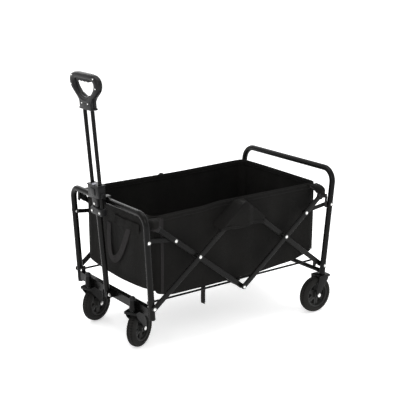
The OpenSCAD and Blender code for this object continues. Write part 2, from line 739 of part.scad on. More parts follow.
corner_tabs();
front_loop();
closing_strap();
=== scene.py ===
# Folding camp wagon with a cloth tub: the looks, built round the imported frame.
import json
import math

import bmesh
import bpy
from mathutils import Matrix, Vector, noise


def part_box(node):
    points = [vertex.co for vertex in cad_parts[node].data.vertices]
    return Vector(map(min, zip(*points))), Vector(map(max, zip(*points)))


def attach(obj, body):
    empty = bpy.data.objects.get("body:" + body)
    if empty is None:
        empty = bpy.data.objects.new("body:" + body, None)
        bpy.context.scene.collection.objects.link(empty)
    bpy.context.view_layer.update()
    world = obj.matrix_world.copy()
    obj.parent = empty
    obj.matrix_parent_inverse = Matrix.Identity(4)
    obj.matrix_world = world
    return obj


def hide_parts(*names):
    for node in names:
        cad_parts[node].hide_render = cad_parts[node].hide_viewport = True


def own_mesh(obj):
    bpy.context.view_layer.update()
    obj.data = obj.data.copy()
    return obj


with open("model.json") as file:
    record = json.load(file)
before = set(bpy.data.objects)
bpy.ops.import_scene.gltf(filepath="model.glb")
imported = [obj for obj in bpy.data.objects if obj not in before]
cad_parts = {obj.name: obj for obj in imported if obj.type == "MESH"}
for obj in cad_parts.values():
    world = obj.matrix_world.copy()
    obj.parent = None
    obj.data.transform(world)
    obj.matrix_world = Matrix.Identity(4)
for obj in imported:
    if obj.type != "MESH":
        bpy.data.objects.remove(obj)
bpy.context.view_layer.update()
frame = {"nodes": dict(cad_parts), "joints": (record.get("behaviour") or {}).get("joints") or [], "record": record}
joints = {j["name"]: j for j in frame["joints"]}


def pivot(name):
    return Vector(joints[name]["pos_m"])


def span(node):
    low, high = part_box(node)
    return low, high, (low + high) / 2


def mix(a, b, t):
    return a + (b - a) * t


def ease(t):
    t = min(max(t, 0.0), 1.0)
    return t * t * (3 - 2 * t)


def arc(centre, radius, start, end, steps):
    turns = [math.radians(mix(start, end, i / steps)) for i in range(steps + 1)]
    return [(centre[0] + radius * math.cos(t), centre[1] + radius * math.sin(t)) for t in turns]


# camera, floor and light
shot = {"lens": 88.44, "azimuth": -36.265, "elevation": 15.424,
        "fromFrontPivot": (-1.8379, -3.0655, 1.5273)}
frontPivot = pivot("fold")


def makeCamera():
    data = bpy.data.cameras.new("camera")
    data.lens = shot["lens"]
    camera = bpy.data.objects.new("camera", data)
    bpy.context.scene.collection.objects.link(camera)
    offset = Vector(shot["fromFrontPivot"])
    camera.location = (frontPivot.x + offset.x, offset.y, offset.z)
    camera.rotation_euler = (math.radians(90 - shot["elevation"]), 0, math.radians(shot["azimuth"]))
    bpy.context.scene.camera = camera


studio = {"world": 0.92, "top": 40, "key": 34, "fill": 12, "rim": 22, "floorGlow": 0.42, "floorHalf": 60}


def areaLight(name, place, target, size, power):
    data = bpy.data.lights.new(name, "AREA")
    data.shape = "RECTANGLE"
    data.size, data.size_y = size
    data.energy = power
    lamp = bpy.data.objects.new(name, data)
    bpy.context.scene.collection.objects.link(lamp)
    lamp.location = place
    lamp.rotation_euler = (Vector(target) - Vector(place)).to_track_quat("-Z", "Y").to_euler()


def makeStudio():
    world = bpy.data.worlds.new("studio")
    world.use_nodes = True
    background = world.node_tree.nodes["Background"]
    background.inputs["Color"].default_value = (1, 1, 1, 1)
    background.inputs["Strength"].default_value = studio["world"]
    bpy.context.scene.world = world
    bpy.context.scene.view_settings.view_transform = "Standard"
    areaLight("topLight", (0, 0, 3.2), (0, 0, 0.3), (3.0, 2.0), studio["top"])
    areaLight("keyLight", (-2.2, -2.6, 2.4), (0, 0, 0.4), (1.6, 1.6), studio["key"])
    areaLight("fillLight", (2.8, -1.8, 1.2), (0, 0, 0.4), (1.6, 1.6), studio["fill"])
    areaLight("backLight", (0.6, 3.0, 2.0), (0, 0, 0.5), (2.4, 1.4), studio["rim"])
    mesh = bpy.data.meshes.new("floor")
    half = studio["floorHalf"]
    mesh.from_pydata([(-half, -half, 0), (half, -half, 0), (half, half, 0), (-half, half, 0)], [],
                     [(0, 1, 2, 3)])
    floor = bpy.data.objects.new("floor", mesh)
    bpy.context.scene.collection.objects.link(floor)
    floor.location.z = -0.0005
    mat, _, _, shader = newMaterial("floorPaint")
    shader.inputs["Base Color"].default_value = (0.97, 0.97, 0.97, 1)
    shader.inputs["Roughness"].default_value = 0.9
    shader.inputs["Specular IOR Level"].default_value = 0.1
    shader.inputs["Emission Color"].default_value = (1, 1, 1, 1)
    shader.inputs["Emission Strength"].default_value = studio["floorGlow"]
    mesh.materials.append(mat)


# materials
def newMaterial(name):
    mat = bpy.data.materials.new(name)
    mat.use_nodes = True
    nodes, links = mat.node_tree.nodes, mat.node_tree.links
    return mat, nodes, links, nodes["Principled BSDF"]


def textureNode(nodes, links, kind, coords, **values):
    node = nodes.new(kind)
    links.new(coords, node.inputs["Vector"])
    for key, value in values.items():
        node.inputs[key].default_value = value
    return node


def tintRamp(nodes, links, source, dark, light, low=0.35, high=0.65):
    ramp = nodes.new("ShaderNodeValToRGB")
    ramp.color_ramp.elements[0].position, ramp.color_ramp.elements[1].position = low, high
    ramp.color_ramp.elements[0].color = (*dark, 1)
    ramp.color_ramp.elements[1].color = (*light, 1)
    links.new(source, ramp.inputs["Fac"])
    return ramp


def rangeNode(nodes, links, source, low, high):
    node = nodes.new("ShaderNodeMapRange")
    node.inputs["To Min"].default_value, node.inputs["To Max"].default_value = low, high
    links.new(source, node.inputs["Value"])
    return node.outputs["Result"]


def bumpNode(nodes, links, source, strength, distance, normal=None):
    bump = nodes.new("ShaderNodeBump")
    bump.inputs["Strength"].default_value = strength
    bump.inputs["Distance"].default_value = distance
    links.new(source, bump.inputs["Height"])
    if normal is not None:
        links.new(normal, bump.inputs["Normal"])
    return bump.outputs["Normal"]


def mottled(name, dark, light, rough, grain, depth, tintScale=9.0, specular=0.5, metal=0.0):
    # a moulded or painted surface: slow colour drift, fine grain and slightly uneven gloss
    mat, nodes, links, shader = newMaterial(name)
    coords = nodes.new("ShaderNodeTexCoord").outputs["Object"]
    drift = textureNode(nodes, links, "ShaderNodeTexNoise", coords, Scale=tintScale, Detail=5.0)
    fine = textureNode(nodes, links, "ShaderNodeTexNoise", coords, Scale=grain, Detail=2.0)
    scuff = textureNode(nodes, links, "ShaderNodeTexNoise", coords, Scale=grain / 12, Detail=6.0)
    ramp = tintRamp(nodes, links, drift.outputs["Fac"], dark, light)
    links.new(ramp.outputs["Color"], shader.inputs["Base Color"])
    links.new(rangeNode(nodes, links, scuff.outputs["Fac"], rough[0], rough[1]), shader.inputs["Roughness"])
    links.new(bumpNode(nodes, links, fine.outputs["Fac"], 0.6, depth), shader.inputs["Normal"])
    shader.inputs["Specular IOR Level"].default_value = specular
    shader.inputs["Metallic"].default_value = metal
    return mat


def woven(name, dark, light, pitch, depth, diagonal, rough=(0.62, 0.8)):
    # threads cross at the pitch, in the piece's own flat coordinates
    mat, nodes, links, shader = newMaterial(name)
    flat = nodes.new("ShaderNodeUVMap")
    flat.uv_map = "flat"
    coords = nodes.new("ShaderNodeTexCoord").outputs["Object"]
    split = nodes.new("ShaderNodeSeparateXYZ")
    links.new(flat.outputs["UV"], split.inputs["Vector"])
    threads = []
    for axis, lean in (("X", 0.0), ("Y", diagonal)):
        turn = nodes.new("ShaderNodeMath")
        turn.operation = "MULTIPLY_ADD"
        other = "Y" if axis == "X" else "X"
        slant = nodes.new("ShaderNodeMath")
        slant.operation = "MULTIPLY"
        slant.inputs[1].default_value = lean
        links.new(split.outputs[other], slant.inputs[0])
        turn.inputs[1].default_value = 2 * math.pi / pitch
        links.new(split.outputs[axis], turn.inputs[0])
        links.new(slant.outputs["Value"], turn.inputs[2])
        wave = nodes.new("ShaderNodeMath")
        wave.operation = "SINE"
        links.new(turn.outputs["Value"], wave.inputs[0])
        threads.append(wave.outputs["Value"])
    weave = nodes.new("ShaderNodeMath")
    weave.operation = "MULTIPLY"
    links.new(threads[0], weave.inputs[0])
    links.new(threads[1], weave.inputs[1])
    drift = textureNode(nodes, links, "ShaderNodeTexNoise", coords, Scale=5.0, Detail=6.0, Roughness=0.6)
    crease = textureNode(nodes, links, "ShaderNodeTexNoise", coords, Scale=38.0, Detail=5.0, Distortion=0.6)
    fuzz = textureNode(nodes, links, "ShaderNodeTexNoise", coords, Scale=700.0, Detail=3.0)
    ramp = tintRamp(nodes, links, drift.outputs["Fac"], dark, light, 0.3, 0.7)
    links.new(ramp.outputs["Color"], shader.inputs["Base Color"])
    links.new(rangeNode(nodes, links, fuzz.outputs["Fac"], rough[0], rough[1]), shader.inputs["Roughness"])
    normal = bumpNode(nodes, links, crease.outputs["Fac"], 0.35, 0.003)
    normal = bumpNode(nodes, links, weave.outputs["Value"], 0.5, depth, normal)
    links.new(normal, shader.inputs["Normal"])
    shader.inputs["Sheen Weight"].default_value = 0.012
    shader.inputs["Sheen Roughness"].default_value = 0.5
    shader.inputs["Specular IOR Level"].default_value = 0.07
    return mat


def makeMaterials():
    # the mottled ones: name, dark and light tint, roughness, grain and its depth
    return {
        "frame_coat": mottled("frameCoat", (0.0022, 0.0022, 0.0022), (0.0040, 0.0038, 0.0034), (0.20, 0.31),
                              1400, 0.0002, specular=0.11),
        "bar_coat": mottled("barCoat", (0.0028, 0.0028, 0.0028), (0.0048, 0.0046, 0.0042), (0.22, 0.34),
                            1400, 0.0002, specular=0.11),
        "zinc": mottled("brightZinc", (0.62, 0.62, 0.6), (0.8, 0.8, 0.79), (0.18, 0.34), 900, 0.0001,
                        tintScale=60.0, metal=1.0),
        "cap_plastic": mottled("capPlastic", (0.006, 0.006, 0.0065), (0.010, 0.010, 0.0105), (0.42, 0.55),
                               1800, 0.0002, specular=0.19),
        "grip_plastic": mottled("gripPlastic", (0.0045, 0.0045, 0.0048), (0.0085, 0.0085, 0.009),
                                (0.30, 0.42), 2200, 0.0002, specular=0.16),
        "insert_rubber": mottled("insertRubber", (0.012, 0.012, 0.013), (0.020, 0.020, 0.021), (0.6, 0.75),
                                 1600, 0.0003, specular=0.19),
        # the release button's light purple-grey colour is a painted highlight: a glint on the collar top, given to
        # a real button
        "button_plastic": mottled("buttonPlastic", (0.22, 0.22, 0.25), (0.32, 0.32, 0.36), (0.2, 0.3),
                                  900, 0.0001),
        "rim_plastic": mottled("rimPlastic", (0.012, 0.012, 0.0113), (0.019, 0.019, 0.0178), (0.42, 0.56),
                               1500, 0.0003, specular=0.25),
        "tyre_rubber": mottled("tyreRubber", (0.0050, 0.0048, 0.0044), (0.0110, 0.0104, 0.0094), (0.62, 0.8),
                               900, 0.0005, tintScale=14.0, specular=0.14),
        "cloth": woven("tubCloth", (0.0034, 0.0033, 0.0031), (0.0066, 0.0062, 0.0056), 0.0011, 0.00025, 0.0),
        "webbing": woven("webbing", (0.0120, 0.0110, 0.0112), (0.0200, 0.0182, 0.0185),
                         0.0018, 0.0005, 400.0),
        "board": mottled("boardFilm", (0.01, 0.01, 0.01), (0.016, 0.016, 0.016), (0.5, 0.6), 700, 0.0003),
        "thread": mottled("thread", (0.016, 0.016, 0.017), (0.026, 0.026, 0.027), (0.5, 0.6), 3000, 0.0001,
                          specular=0.2),
        "washer": mottled("washerPlastic", (0.008, 0.008, 0.008), (0.012, 0.012, 0.012), (0.35, 0.5),
                          1500, 0.0001),
    }


# mesh building
sidePlane = Matrix(((1, 0, 0, 0), (0, 0, -1, 0), (0, 1, 0, 0), (0, 0, 0, 1)))   # drawn x, y -> wagon x, z


def linked(name, mesh):
    obj = bpy.data.objects.new(name, mesh)
    bpy.context.scene.collection.objects.link(obj)
    return obj


def built(name, points, faces, smooth=True):
    mesh = bpy.data.meshes.new(name)
    mesh.from_pydata([tuple(p) for p in points], [], faces)
    mesh.update()
    if smooth:
        mesh.shade_smooth()
    return linked(name, mesh)


def settled(obj):
    # the evaluated shape becomes the object's plain mesh
    result = bpy.data.meshes.new_from_object(obj.evaluated_get(bpy.context.evaluated_depsgraph_get()))
    if obj.type == "MESH":
        obj.modifiers.clear()
        obj.data = result
        return obj
    name = obj.name
    bpy.data.objects.remove(obj)
    return linked(name, result)


def tidy(obj, weld=0.00002, angle=35):
    # doubles merged, faces outwards, smooth but for its edges
    work = bmesh.new()
    work.from_mesh(obj.data)
    if weld:
        bmesh.ops.remove_doubles(work, verts=work.verts, dist=weld)
    bmesh.ops.recalc_face_normals(work, faces=work.faces)
    work.to_mesh(obj.data)
    work.free()
    obj.data.shade_smooth()
    obj.data.set_sharp_from_angle(angle=math.radians(angle))
    return obj


def joined(name, parts):
    # several objects made one, each keeping its material
    work = bmesh.new()
    slots = []
    for part in parts:
        offset = len(slots)
        slots += list(part.data.materials)
        first = len(work.faces)
        work.from_mesh(part.data)
        work.faces.ensure_lookup_table()
        for face in work.faces[first:]:
            face.material_index += offset
    mesh = bpy.data.meshes.new(name)
    work.to_mesh(mesh)
    work.free()
    for mat in slots:
        mesh.materials.append(mat)
    for part in parts:
        bpy.data.objects.remove(part)
    return linked(name, mesh)


def plate(name, outlines, depth, bevel, place, steps=3):
    # a filled outline with its holes, given a depth and rounded edges
    curve = bpy.data.curves.new(name, "CURVE")
    curve.dimensions = "2D"
    curve.fill_mode = "BOTH"
    curve.extrude = depth / 2 - bevel
    curve.bevel_depth = bevel
    curve.bevel_resolution = steps
    curve.offset = -bevel
    for points in outlines:
        spline = curve.splines.new("POLY")
        spline.points.add(len(points) - 1)
        for point, (x, y) in zip(spline.points, points):
            point.co = (x, y, 0, 1)
        spline.use_cyclic_u = True
    obj = settled(linked(name, curve))
    obj.data.transform(place)
    return tidy(obj)


def slotOutline(a, b, width, steps=10):
    turn = math.degrees(math.atan2(b[1] - a[1], b[0] - a[0]))
    return arc(b, width / 2, turn - 90, turn + 90, steps) + arc(a, width / 2, turn + 90, turn + 270, steps)


def revolve(name, profile, place, steps=48, closed=False):
    # profile: (radius, height) pairs round the local Z axis
    points, faces = [], []
    for i in range(steps):
        t = 2 * math.pi * i / steps
        points += [(r * math.cos(t), r * math.sin(t), h) for r, h in profile]
    rows = len(profile)
    for i in range(steps):
        here, there = i * rows, (i + 1) % steps * rows
        for j in range(rows if closed else rows - 1):
            k = (j + 1) % rows
            faces.append((here + j, there + j, there + k, here + k))
    obj = built(name, points, faces)
    obj.data.transform(place)
    return tidy(obj)


def roundedBlock(name, low, high, radius, place=None, segments=3):
    work = bmesh.new()
    bmesh.ops.create_cube(work, size=1.0)
    size, middle = Vector(high) - Vector(low), (Vector(high) + Vector(low)) / 2
    for vert in work.verts:
        vert.co = Vector(c * s for c, s in zip(vert.co, size)) + middle
    bmesh.ops.bevel(work, geom=list(work.edges), offset=radius, segments=segments, profile=0.5,
                    affect="EDGES")
    mesh = bpy.data.meshes.new(name)
    work.to_mesh(mesh)
    work.free()
    obj = linked(name, mesh)
    if place is not None:
        obj.data.transform(place)
    return tidy(obj)


def ribbon(name, path, facing, width, thick, closed=False, corners=None):
    # a flat strip along the path; facing is the strip's outward side at each point
    count = len(path)
    points, faces, coords = [], [], []
    length = 0.0
    corners = corners or [(-0.5, 0), (-0.46, 1), (0, 1.15), (0.46, 1), (0.5, 0), (0.46, -0.2), (0, -0.2),
                          (-0.46, -0.2)]
    for i, point in enumerate(path):
        before = path[i - 1] if closed or i else path[i]
        after = path[(i + 1) % count] if closed or i < count - 1 else path[i]
        along = (after - before).normalized()
        out = facing[i].normalized()
        side = along.cross(out).normalized()
        if i:
            length += (point - path[i - 1]).length
        for s, h in corners:
            points.append(point + side * s * width + out * h * thick)
            coords.append((s * width, length))
    ring = len(corners)
    for i in range(count if closed else count - 1):
        here, there = i * ring, (i + 1) % count * ring
        for j in range(ring):
            k = (j + 1) % ring
            faces.append((here + j, here + k, there + k, there + j))
    if not closed:
        faces += [tuple(range(ring)), tuple(reversed(range((count - 1) * ring, count * ring)))]
    obj = built(name, points, faces)
    flatten(obj, coords)
    return tidy(obj, None, 50)


def flatten(obj, coords):
    # the piece's flat coordinates, one pair for each vertex
    layer = obj.data.uv_layers.new(name="flat")
    for loop in obj.data.loops:
        layer.data[loop.index].uv = coords[loop.vertex_index]


def gridFaces(columns, rows):
    # quads over points that were laid column by column
    firsts = [i * (rows + 1) + j for i in range(columns) for j in range(rows)]
    return [(a, a + rows + 1, a + rows + 2, a + 1) for a in firsts]


def between(a, b, c, d, t):
    # a rounded step from b to c, led by their neighbours
    bend = (a * 2 - b * 5 + c * 4 - d) * t * t
    return 0.5 * ((b * 2) + (c - a) * t + bend + (b * 3 - a - c * 3 + d) * t ** 3)


def painted(obj, *names):
    obj.data.materials.clear()
    for name in names:
        obj.data.materials.append(mats[name])
    return obj


def placed(obj, body, slot, *stoodFor):
    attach(obj, body)
    if stoodFor:
        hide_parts(*stoodFor)
    return obj


# repeats by Geometry Nodes
def repeatTree():
    tree = bpy.data.node_groups.new("repeatUnits", "GeometryNodeTree")
    face = tree.interface
    face.new_socket("Places", in_out="INPUT", socket_type="NodeSocketGeometry")
    face.new_socket("Unit", in_out="INPUT", socket_type="NodeSocketObject")
    face.new_socket("Size", in_out="INPUT", socket_type="NodeSocketFloat")
    face.new_socket("Size Drift", in_out="INPUT", socket_type="NodeSocketFloat")
    face.new_socket("Seed", in_out="INPUT", socket_type="NodeSocketInt")
    face.new_socket("Finish", in_out="INPUT", socket_type="NodeSocketMaterial")
    face.new_socket("Geometry", in_out="OUTPUT", socket_type="NodeSocketGeometry")
    make = tree.nodes.new
    start, end = make("NodeGroupInput"), make("NodeGroupOutput")
    info = make("GeometryNodeObjectInfo")
    aim = make("GeometryNodeInputNamedAttribute")
    aim.data_type = "FLOAT_VECTOR"
    aim.inputs["Name"].default_value = "aim"
    turn = make("FunctionNodeAlignRotationToVector")
    turn.axis = "Z"
    drift = make("FunctionNodeRandomValue")
    drift.data_type = "FLOAT"
    low, high, stamp = make("ShaderNodeMath"), make("ShaderNodeMath"), make("GeometryNodeInstanceOnPoints")
    low.operation, high.operation = "SUBTRACT", "ADD"
    wire = tree.links.new
    for node in (low, high):
        wire(start.outputs["Size"], node.inputs[0])
        wire(start.outputs["Size Drift"], node.inputs[1])
    wire(low.outputs[0], drift.inputs[2])
    wire(high.outputs[0], drift.inputs[3])
    wire(start.outputs["Seed"], drift.inputs["Seed"])
    wire(start.outputs["Unit"], info.inputs["Object"])
    wire(aim.outputs["Attribute"], turn.inputs["Vector"])
    wire(start.outputs["Places"], stamp.inputs["Points"])
    wire(info.outputs["Geometry"], stamp.inputs["Instance"])
    wire(turn.outputs["Rotation"], stamp.inputs["Rotation"])
    wire(drift.outputs[1], stamp.inputs["Scale"])
    real, finish = make("GeometryNodeRealizeInstances"), make("GeometryNodeSetMaterial")
    wire(stamp.outputs["Instances"], real.inputs["Geometry"])
    wire(real.outputs["Geometry"], finish.inputs["Geometry"])
    wire(start.outputs["Finish"], finish.inputs["Material"])
    wire(finish.outputs["Geometry"], end.inputs["Geometry"])
    return tree


def repeated(name, places, aims, unit, finish, size=1.0, drift=0.0, seed=3):
    mesh = bpy.data.meshes.new(name)
    mesh.from_pydata([tuple(p) for p in places], [], [])
    layer = mesh.attributes.new("aim", "FLOAT_VECTOR", "POINT")
    layer.data.foreach_set("vector", [c for a in aims for c in a])
    obj = linked(name, mesh)
    mod = obj.modifiers.new("repeat", "NODES")
    mod.node_group = repeater
    values = {"Unit": unit, "Size": size, "Size Drift": drift, "Seed": seed, "Finish": mats[finish]}
    for item in repeater.interface.items_tree:
        if item.in_out == "INPUT" and item.name in values:
            mod[item.identifier] = values[item.name]
    settled(obj)
    if not obj.data.materials:
        obj.data.materials.append(mats[finish])
    obj.data.shade_smooth()
    obj.data.set_sharp_from_angle(angle=math.radians(40))
    return obj


def unitShape(name, profile, steps=16):
    obj = revolve(name, profile, Matrix.Identity(4), steps)
    obj.hide_render = True
    return obj


# the camera, the light and every CAD node's finish come first
makeCamera()
makeStudio()
mats = makeMaterials()
repeater = repeatTree()
slotOf = {item["node"]: item["material_slot"] for item in frame["record"]["subparts"]}
for nodeName, node in frame["nodes"].items():
    node.data.materials.clear()
    node.data.materials.append(mats[slotOf[nodeName]])
print("stage: camera, studio and finishes ready")


# wheels
wheelLook = {"lugs": 22, "lugRise": 0.0042, "lugSlant": 1.5, "around": 264, "across": 30, "spokes": 6,
             "webDepth": 0.0135}


def wheelPlace(spin):
    # local Z becomes the axle, at the wheel's centre
    axis = Vector(joints[spin]["axis"]).normalized()
    turn = axis.to_track_quat("Z", "Y").to_matrix().to_4x4()
    return Matrix.Translation(pivot(spin)) @ turn


def wheelSizes():
    # the tyre's radius and half width, and the radius of its seat on the rim
    low, high, _ = span("rear_tyre_near")
    rimLow, rimHigh, _ = span("rear_rim_near")
    return (high.z - low.z) / 2, (high.y - low.y) / 2, (rimHigh.z - rimLow.z) / 2


def makeTyre(name, place):
    outer, half, seat = wheelSizes()
    rise = wheelLook["lugRise"]
    crown = outer - rise
    shoulder = 0.010
    outline = [(seat + 0.001, -half + 0.003), (seat + 0.0035, -half + 0.0005)]
    outline += [(crown - shoulder - 0.004, -half)]
    sweepSteps = wheelLook["across"]
    for i in range(sweepSteps + 1):
        t = mix(-1.0, 1.0, i / sweepSteps)
        edge = abs(t) ** 3.2
        outline.append((crown - shoulder * edge * 0.9, t * (half - 0.001)))
    outline += [(crown - shoulder - 0.004, half), (seat + 0.0035, half - 0.0005),
                (seat + 0.001, half - 0.003)]
    around, rows = wheelLook["around"], len(outline)
    points, faces = [], []
    for i in range(around):
        t = 2 * math.pi * i / around
        for r, h in outline:
            across = h / half
            lug = 0.0
            if r > crown - shoulder - 0.003:
                wave = math.sin(wheelLook["lugs"] * t + wheelLook["lugSlant"] * across * 3)
                cross = math.sin(wheelLook["lugs"] * t - wheelLook["lugSlant"] * across * 3)
                raised = ease((wave * cross + 0.42) / 0.22)
                lug = rise * raised * (1.0 if abs(across) < 0.93 else 0.6)
            points.append(((r + lug) * math.cos(t), (r + lug) * math.sin(t), h))
    for i in range(around):
        here, there = i * rows, (i + 1) % around * rows
        for j in range(rows):
            k = (j + 1) % rows
            faces.append((here + j, there + j, there + k, here + k))
    tyre = built(name, points, faces)
    tyre.data.transform(place)
    return tidy(tyre, angle=40)


def roundedTriangle(middle, inner, outer, spread, radius):
    # a cut-out that widens outwards, with rounded corners, round the direction middle in degrees
    tip = (inner, 0.0)
    left, right = (outer, spread), (outer, -spread)
    shape = []
    corners = [tip, right, left]
    for i, corner in enumerate(corners):
        before, after = Vector(corners[i - 1]), Vector(corners[(i + 1) % 3])
        here = Vector(corner)
        a = here + (before - here).normalized() * radius
        b = here + (after - here).normalized() * radius
        for s in range(5):
            t = s / 4
            shape.append((a * (1 - t) + here * t) * (1 - t) + (here * (1 - t) + b * t) * t)
    turn = Matrix.Rotation(math.radians(middle), 2)
    return [tuple(turn @ p) for p in shape]


def makeRim(name, place):
    _, half, seat = wheelSizes()
    lip = seat - 0.0035
    step = 360 / wheelLook["spokes"]
    cuts = [roundedTriangle(step * i, 0.019, lip - 0.007, 0.0125, 0.005)
            for i in range(wheelLook["spokes"])]
    web = plate(name + "Web", [arc((0, 0), lip, 0, 360, 72)[:-1]] + cuts, wheelLook["webDepth"], 0.0012,
                Matrix.Identity(4))
    barrelOutline = [(lip - 0.0015, -half + 0.004), (seat - 0.002, -half + 0.0022), (seat, -half + 0.003),
                     (seat, half - 0.003), (seat - 0.002, half - 0.0022), (lip - 0.0015, half - 0.004),
                     (lip - 0.003, half - 0.008), (lip - 0.004, 0.0), (lip - 0.003, -half + 0.008)]
    hubOutline = [(0.0052, -half), (0.0135, -half), (0.0145, -half + 0.001), (0.0165, -0.004),
                  (0.0165, 0.004), (0.0145, half - 0.001), (0.0135, half), (0.0052, half)]
    discOutline = [(0.014, -0.0006), (lip - 0.001, -0.0006), (lip - 0.001, 0.0006), (0.014, 0.0006)]
    barrel = revolve(name + "Barrel", barrelOutline, Matrix.Identity(4), 72, True)
    hub = revolve(name + "Hub", hubOutline, Matrix.Identity(4), 40, True)
    # a thin disc at the wheel's middle closes the cut-outs; it is painted darker than the rim, as painted shade
    # inside the cut-outs
    backing = revolve(name + "Backing", discOutline, Matrix.Identity(4), 48, True)
    backing.data.transform(place)
    ribs = []
    for i in range(wheelLook["spokes"]):
        turn = Matrix.Rotation(math.radians(step * (i + 0.5)), 4, "Z")
        ribs.append(roundedBlock(name + "Rib", (0.014, -0.0014, -0.0085), (lip - 0.003, 0.0014, 0.0085),
                                 0.0008, turn, 2))
    rim = joined(name, [web, barrel, hub] + ribs)
    rim.data.transform(place)
    return tidy(rim, weld=0.000005), backing


def makeWheels():
    for kind, side in (("rear", "near"), ("rear", "far"), ("caster", "near"), ("caster", "far")):
        body, place = kind + "_wheel_" + side, wheelPlace(kind + "_spin_" + side)
        rim, backing = makeRim(body + "Rim", place)
        placed(painted(rim, "rim_plastic"), body, "rim_plastic", kind + "_rim_" + side)
        # the backing disc takes the darker tyre rubber rather than the rim's colour: painted shade in the cut-outs
        placed(painted(backing, "tyre_rubber"), body, "tyre_rubber")
        tyre = makeTyre(body + "Tyre", place)
        placed(painted(tyre, "tyre_rubber"), body, "tyre_rubber", kind + "_tyre_" + side)


makeWheels()
print("stage: wheels")


# forks: pressed crown with two swept cheeks
forkLook = {"sheet": 0.003, "round": 0.0010, "crown": 0.058, "bolt": 0.0115, "pin": 0.0052, "wide": 0.024,
            "lip": 0.0015, "clear": 0.003}


def cheekOutline(crown, axle, top):
    # from the crown's ends the cheek sweeps down to the axle, narrowing like a blade
    def curve(a, handleA, handleB, b, steps=12):
        pts = []
        for i in range(steps + 1):
            t = i / steps
            pts.append(a * (1 - t) ** 3 + handleA * 3 * t * (1 - t) ** 2 + handleB * 3 * t * t * (1 - t)
                       + b * t ** 3)
        return pts
    lead = axle - crown
    side = 1 if lead.x >= 0 else -1
    wide = forkLook["wide"]
    front = Vector((crown.x - side * wide, top))
    back = Vector((crown.x + side * (wide + 0.004), top))
    down = Vector((0, -1))
    endIn = axle + Vector((-side * forkLook["bolt"], 0.002))
    endOut = axle + Vector((side * forkLook["bolt"] * 0.96, 0.004))
    shape = curve(front, front + down * 0.030, endIn + Vector((-side * 0.004, 0.032)), endIn)
    a0 = 180 if side > 0 else 0
    a1 = 360 if side > 0 else -180
    a0, a1 = a0 + side * 4, a1 + side * 16    # the round end runs on a little past the second curve
    shape += arc(axle, forkLook["bolt"], a0, a1, 10)[1:-1]
    shape += curve(endOut, endOut + Vector((side * 0.008, 0.026)),
                   back + down * 0.026 + Vector((side * 0.003, 0)), back)
    return [tuple(p) for p in shape]


def makeFork(name, crown, axle, inner, top, place):
    # drawn in the wheel's own plane: x along the wagon, y up; place carries it there
    sheet = forkLook["sheet"]
    outline = cheekOutline(crown, axle, top)
    pin = list(reversed(arc(axle, forkLook["pin"], 0, 360, 20)[:-1]))
    parts = []
    for side in (-1, 1):
        shift = Matrix.Translation((0, side * (inner + sheet / 2), 0)) @ sidePlane
        parts.append(plate(name + "Cheek", [outline, pin], sheet, forkLook["round"], shift))
        low = (crown.x - 0.021, side * inner - 0.001, top - 0.012)
        high = (crown.x + 0.021, side * inner + 0.001, top)
        parts.append(roundedBlock(name + "Bend", low, high, 0.0009))
    length, lip = forkLook["crown"], forkLook["lip"]
    half = inner + sheet + lip
    low, high = (crown.x - length / 2, -half, top), (crown.x + length / 2, half, top + sheet)
    parts.append(roundedBlock(name + "Crown", low, high, 0.0013))
    for end in (-1, 1):   # the crown's ends are turned down over the tyre
        x = crown.x + end * (length / 2 - lip)
        low, high = (x - lip, -half, top - 0.008), (x + lip, half, top + 0.002)
        parts.append(roundedBlock(name + "Lip", low, high, 0.0011))
    fork = joined(name, parts)
    fork.data.transform(place)
    return tidy(fork, weld=0.000005)


def makeForks():
    wheelR, half, _ = wheelSizes()
    inner = half + forkLook["clear"]
    top = span("caster_fork_near")[1].z - forkLook["sheet"]
    for side in ("near", "far"):
        swivel, spin = pivot("caster_swivel_" + side), pivot("caster_spin_" + side)
        back = Vector((spin.x - swivel.x, spin.y - swivel.y, 0))
        turn = Matrix.Rotation(math.atan2(back.y, back.x), 4, "Z")
        fork = makeFork("casterFork" + side.title(), Vector((back.length * 0.22, top)),
                        Vector((back.length, wheelR)), inner, top,
                        Matrix.Translation((swivel.x, swivel.y, 0)) @ turn)
        placed(painted(fork, "frame_coat"), "caster_" + side, "frame_coat", "caster_fork_" + side)
    parts = []
    crownX = span("rear_forks")[1].x - 0.026
    for side in ("near", "far"):
        spin = pivot("rear_spin_" + side)
        place = Matrix.Translation((0, spin.y, 0))
        parts.append(makeFork("rearFork" + side.title(), Vector((crownX, top)), Vector((spin.x, wheelR)),
                              inner, top, place))
    placed(painted(joined("rearForks", parts), "frame_coat"), "rear", "frame_coat", "rear_forks")


makeForks()
print("stage: forks")


# scissor bars and links: flat oval tubes, flattened at their ends
barLook = {"edge": 0.0034, "depth": 0.010, "width": 0.020}


def barPair(node, a, b):
    # the near and the far bar of one body, from a to b
    outerFace, depth = span(node)[1].y, barLook["depth"]
    outline = slotOutline((a.x, a.z), (b.x, b.z), barLook["width"])
    parts = []
    for side in (-1, 1):
        shift = Matrix.Translation((0, side * (outerFace - depth / 2), 0)) @ sidePlane
        parts.append(plate(node + "Half", [outline], depth, barLook["edge"], shift, 4))
    return joined(node + "Tubes", parts)


def sidePoint(node, xEnd, zEnd, inset):
    # the corner of a bar's box that its end reaches, moved in by the inset
    low, high, _ = span(node)
    x = low.x + inset if xEnd < 0 else high.x - inset
    z = low.z + inset if zEnd < 0 else high.z - inset
    return Vector((x, 0, z))


def makeBars():
    rises = {"bars_outer_front": 1, "bars_inner_front": -1, "bars_inner_rear": -1, "bars_outer_rear": 1}
    half = barLook["width"] / 2
    for node, rise in rises.items():
        bars = barPair(node, sidePoint(node, -1, -rise, half), sidePoint(node, 1, rise, half))
        placed(painted(bars, "bar_coat"), node, "bar_coat", node)


makeBars()
print("stage: bars")


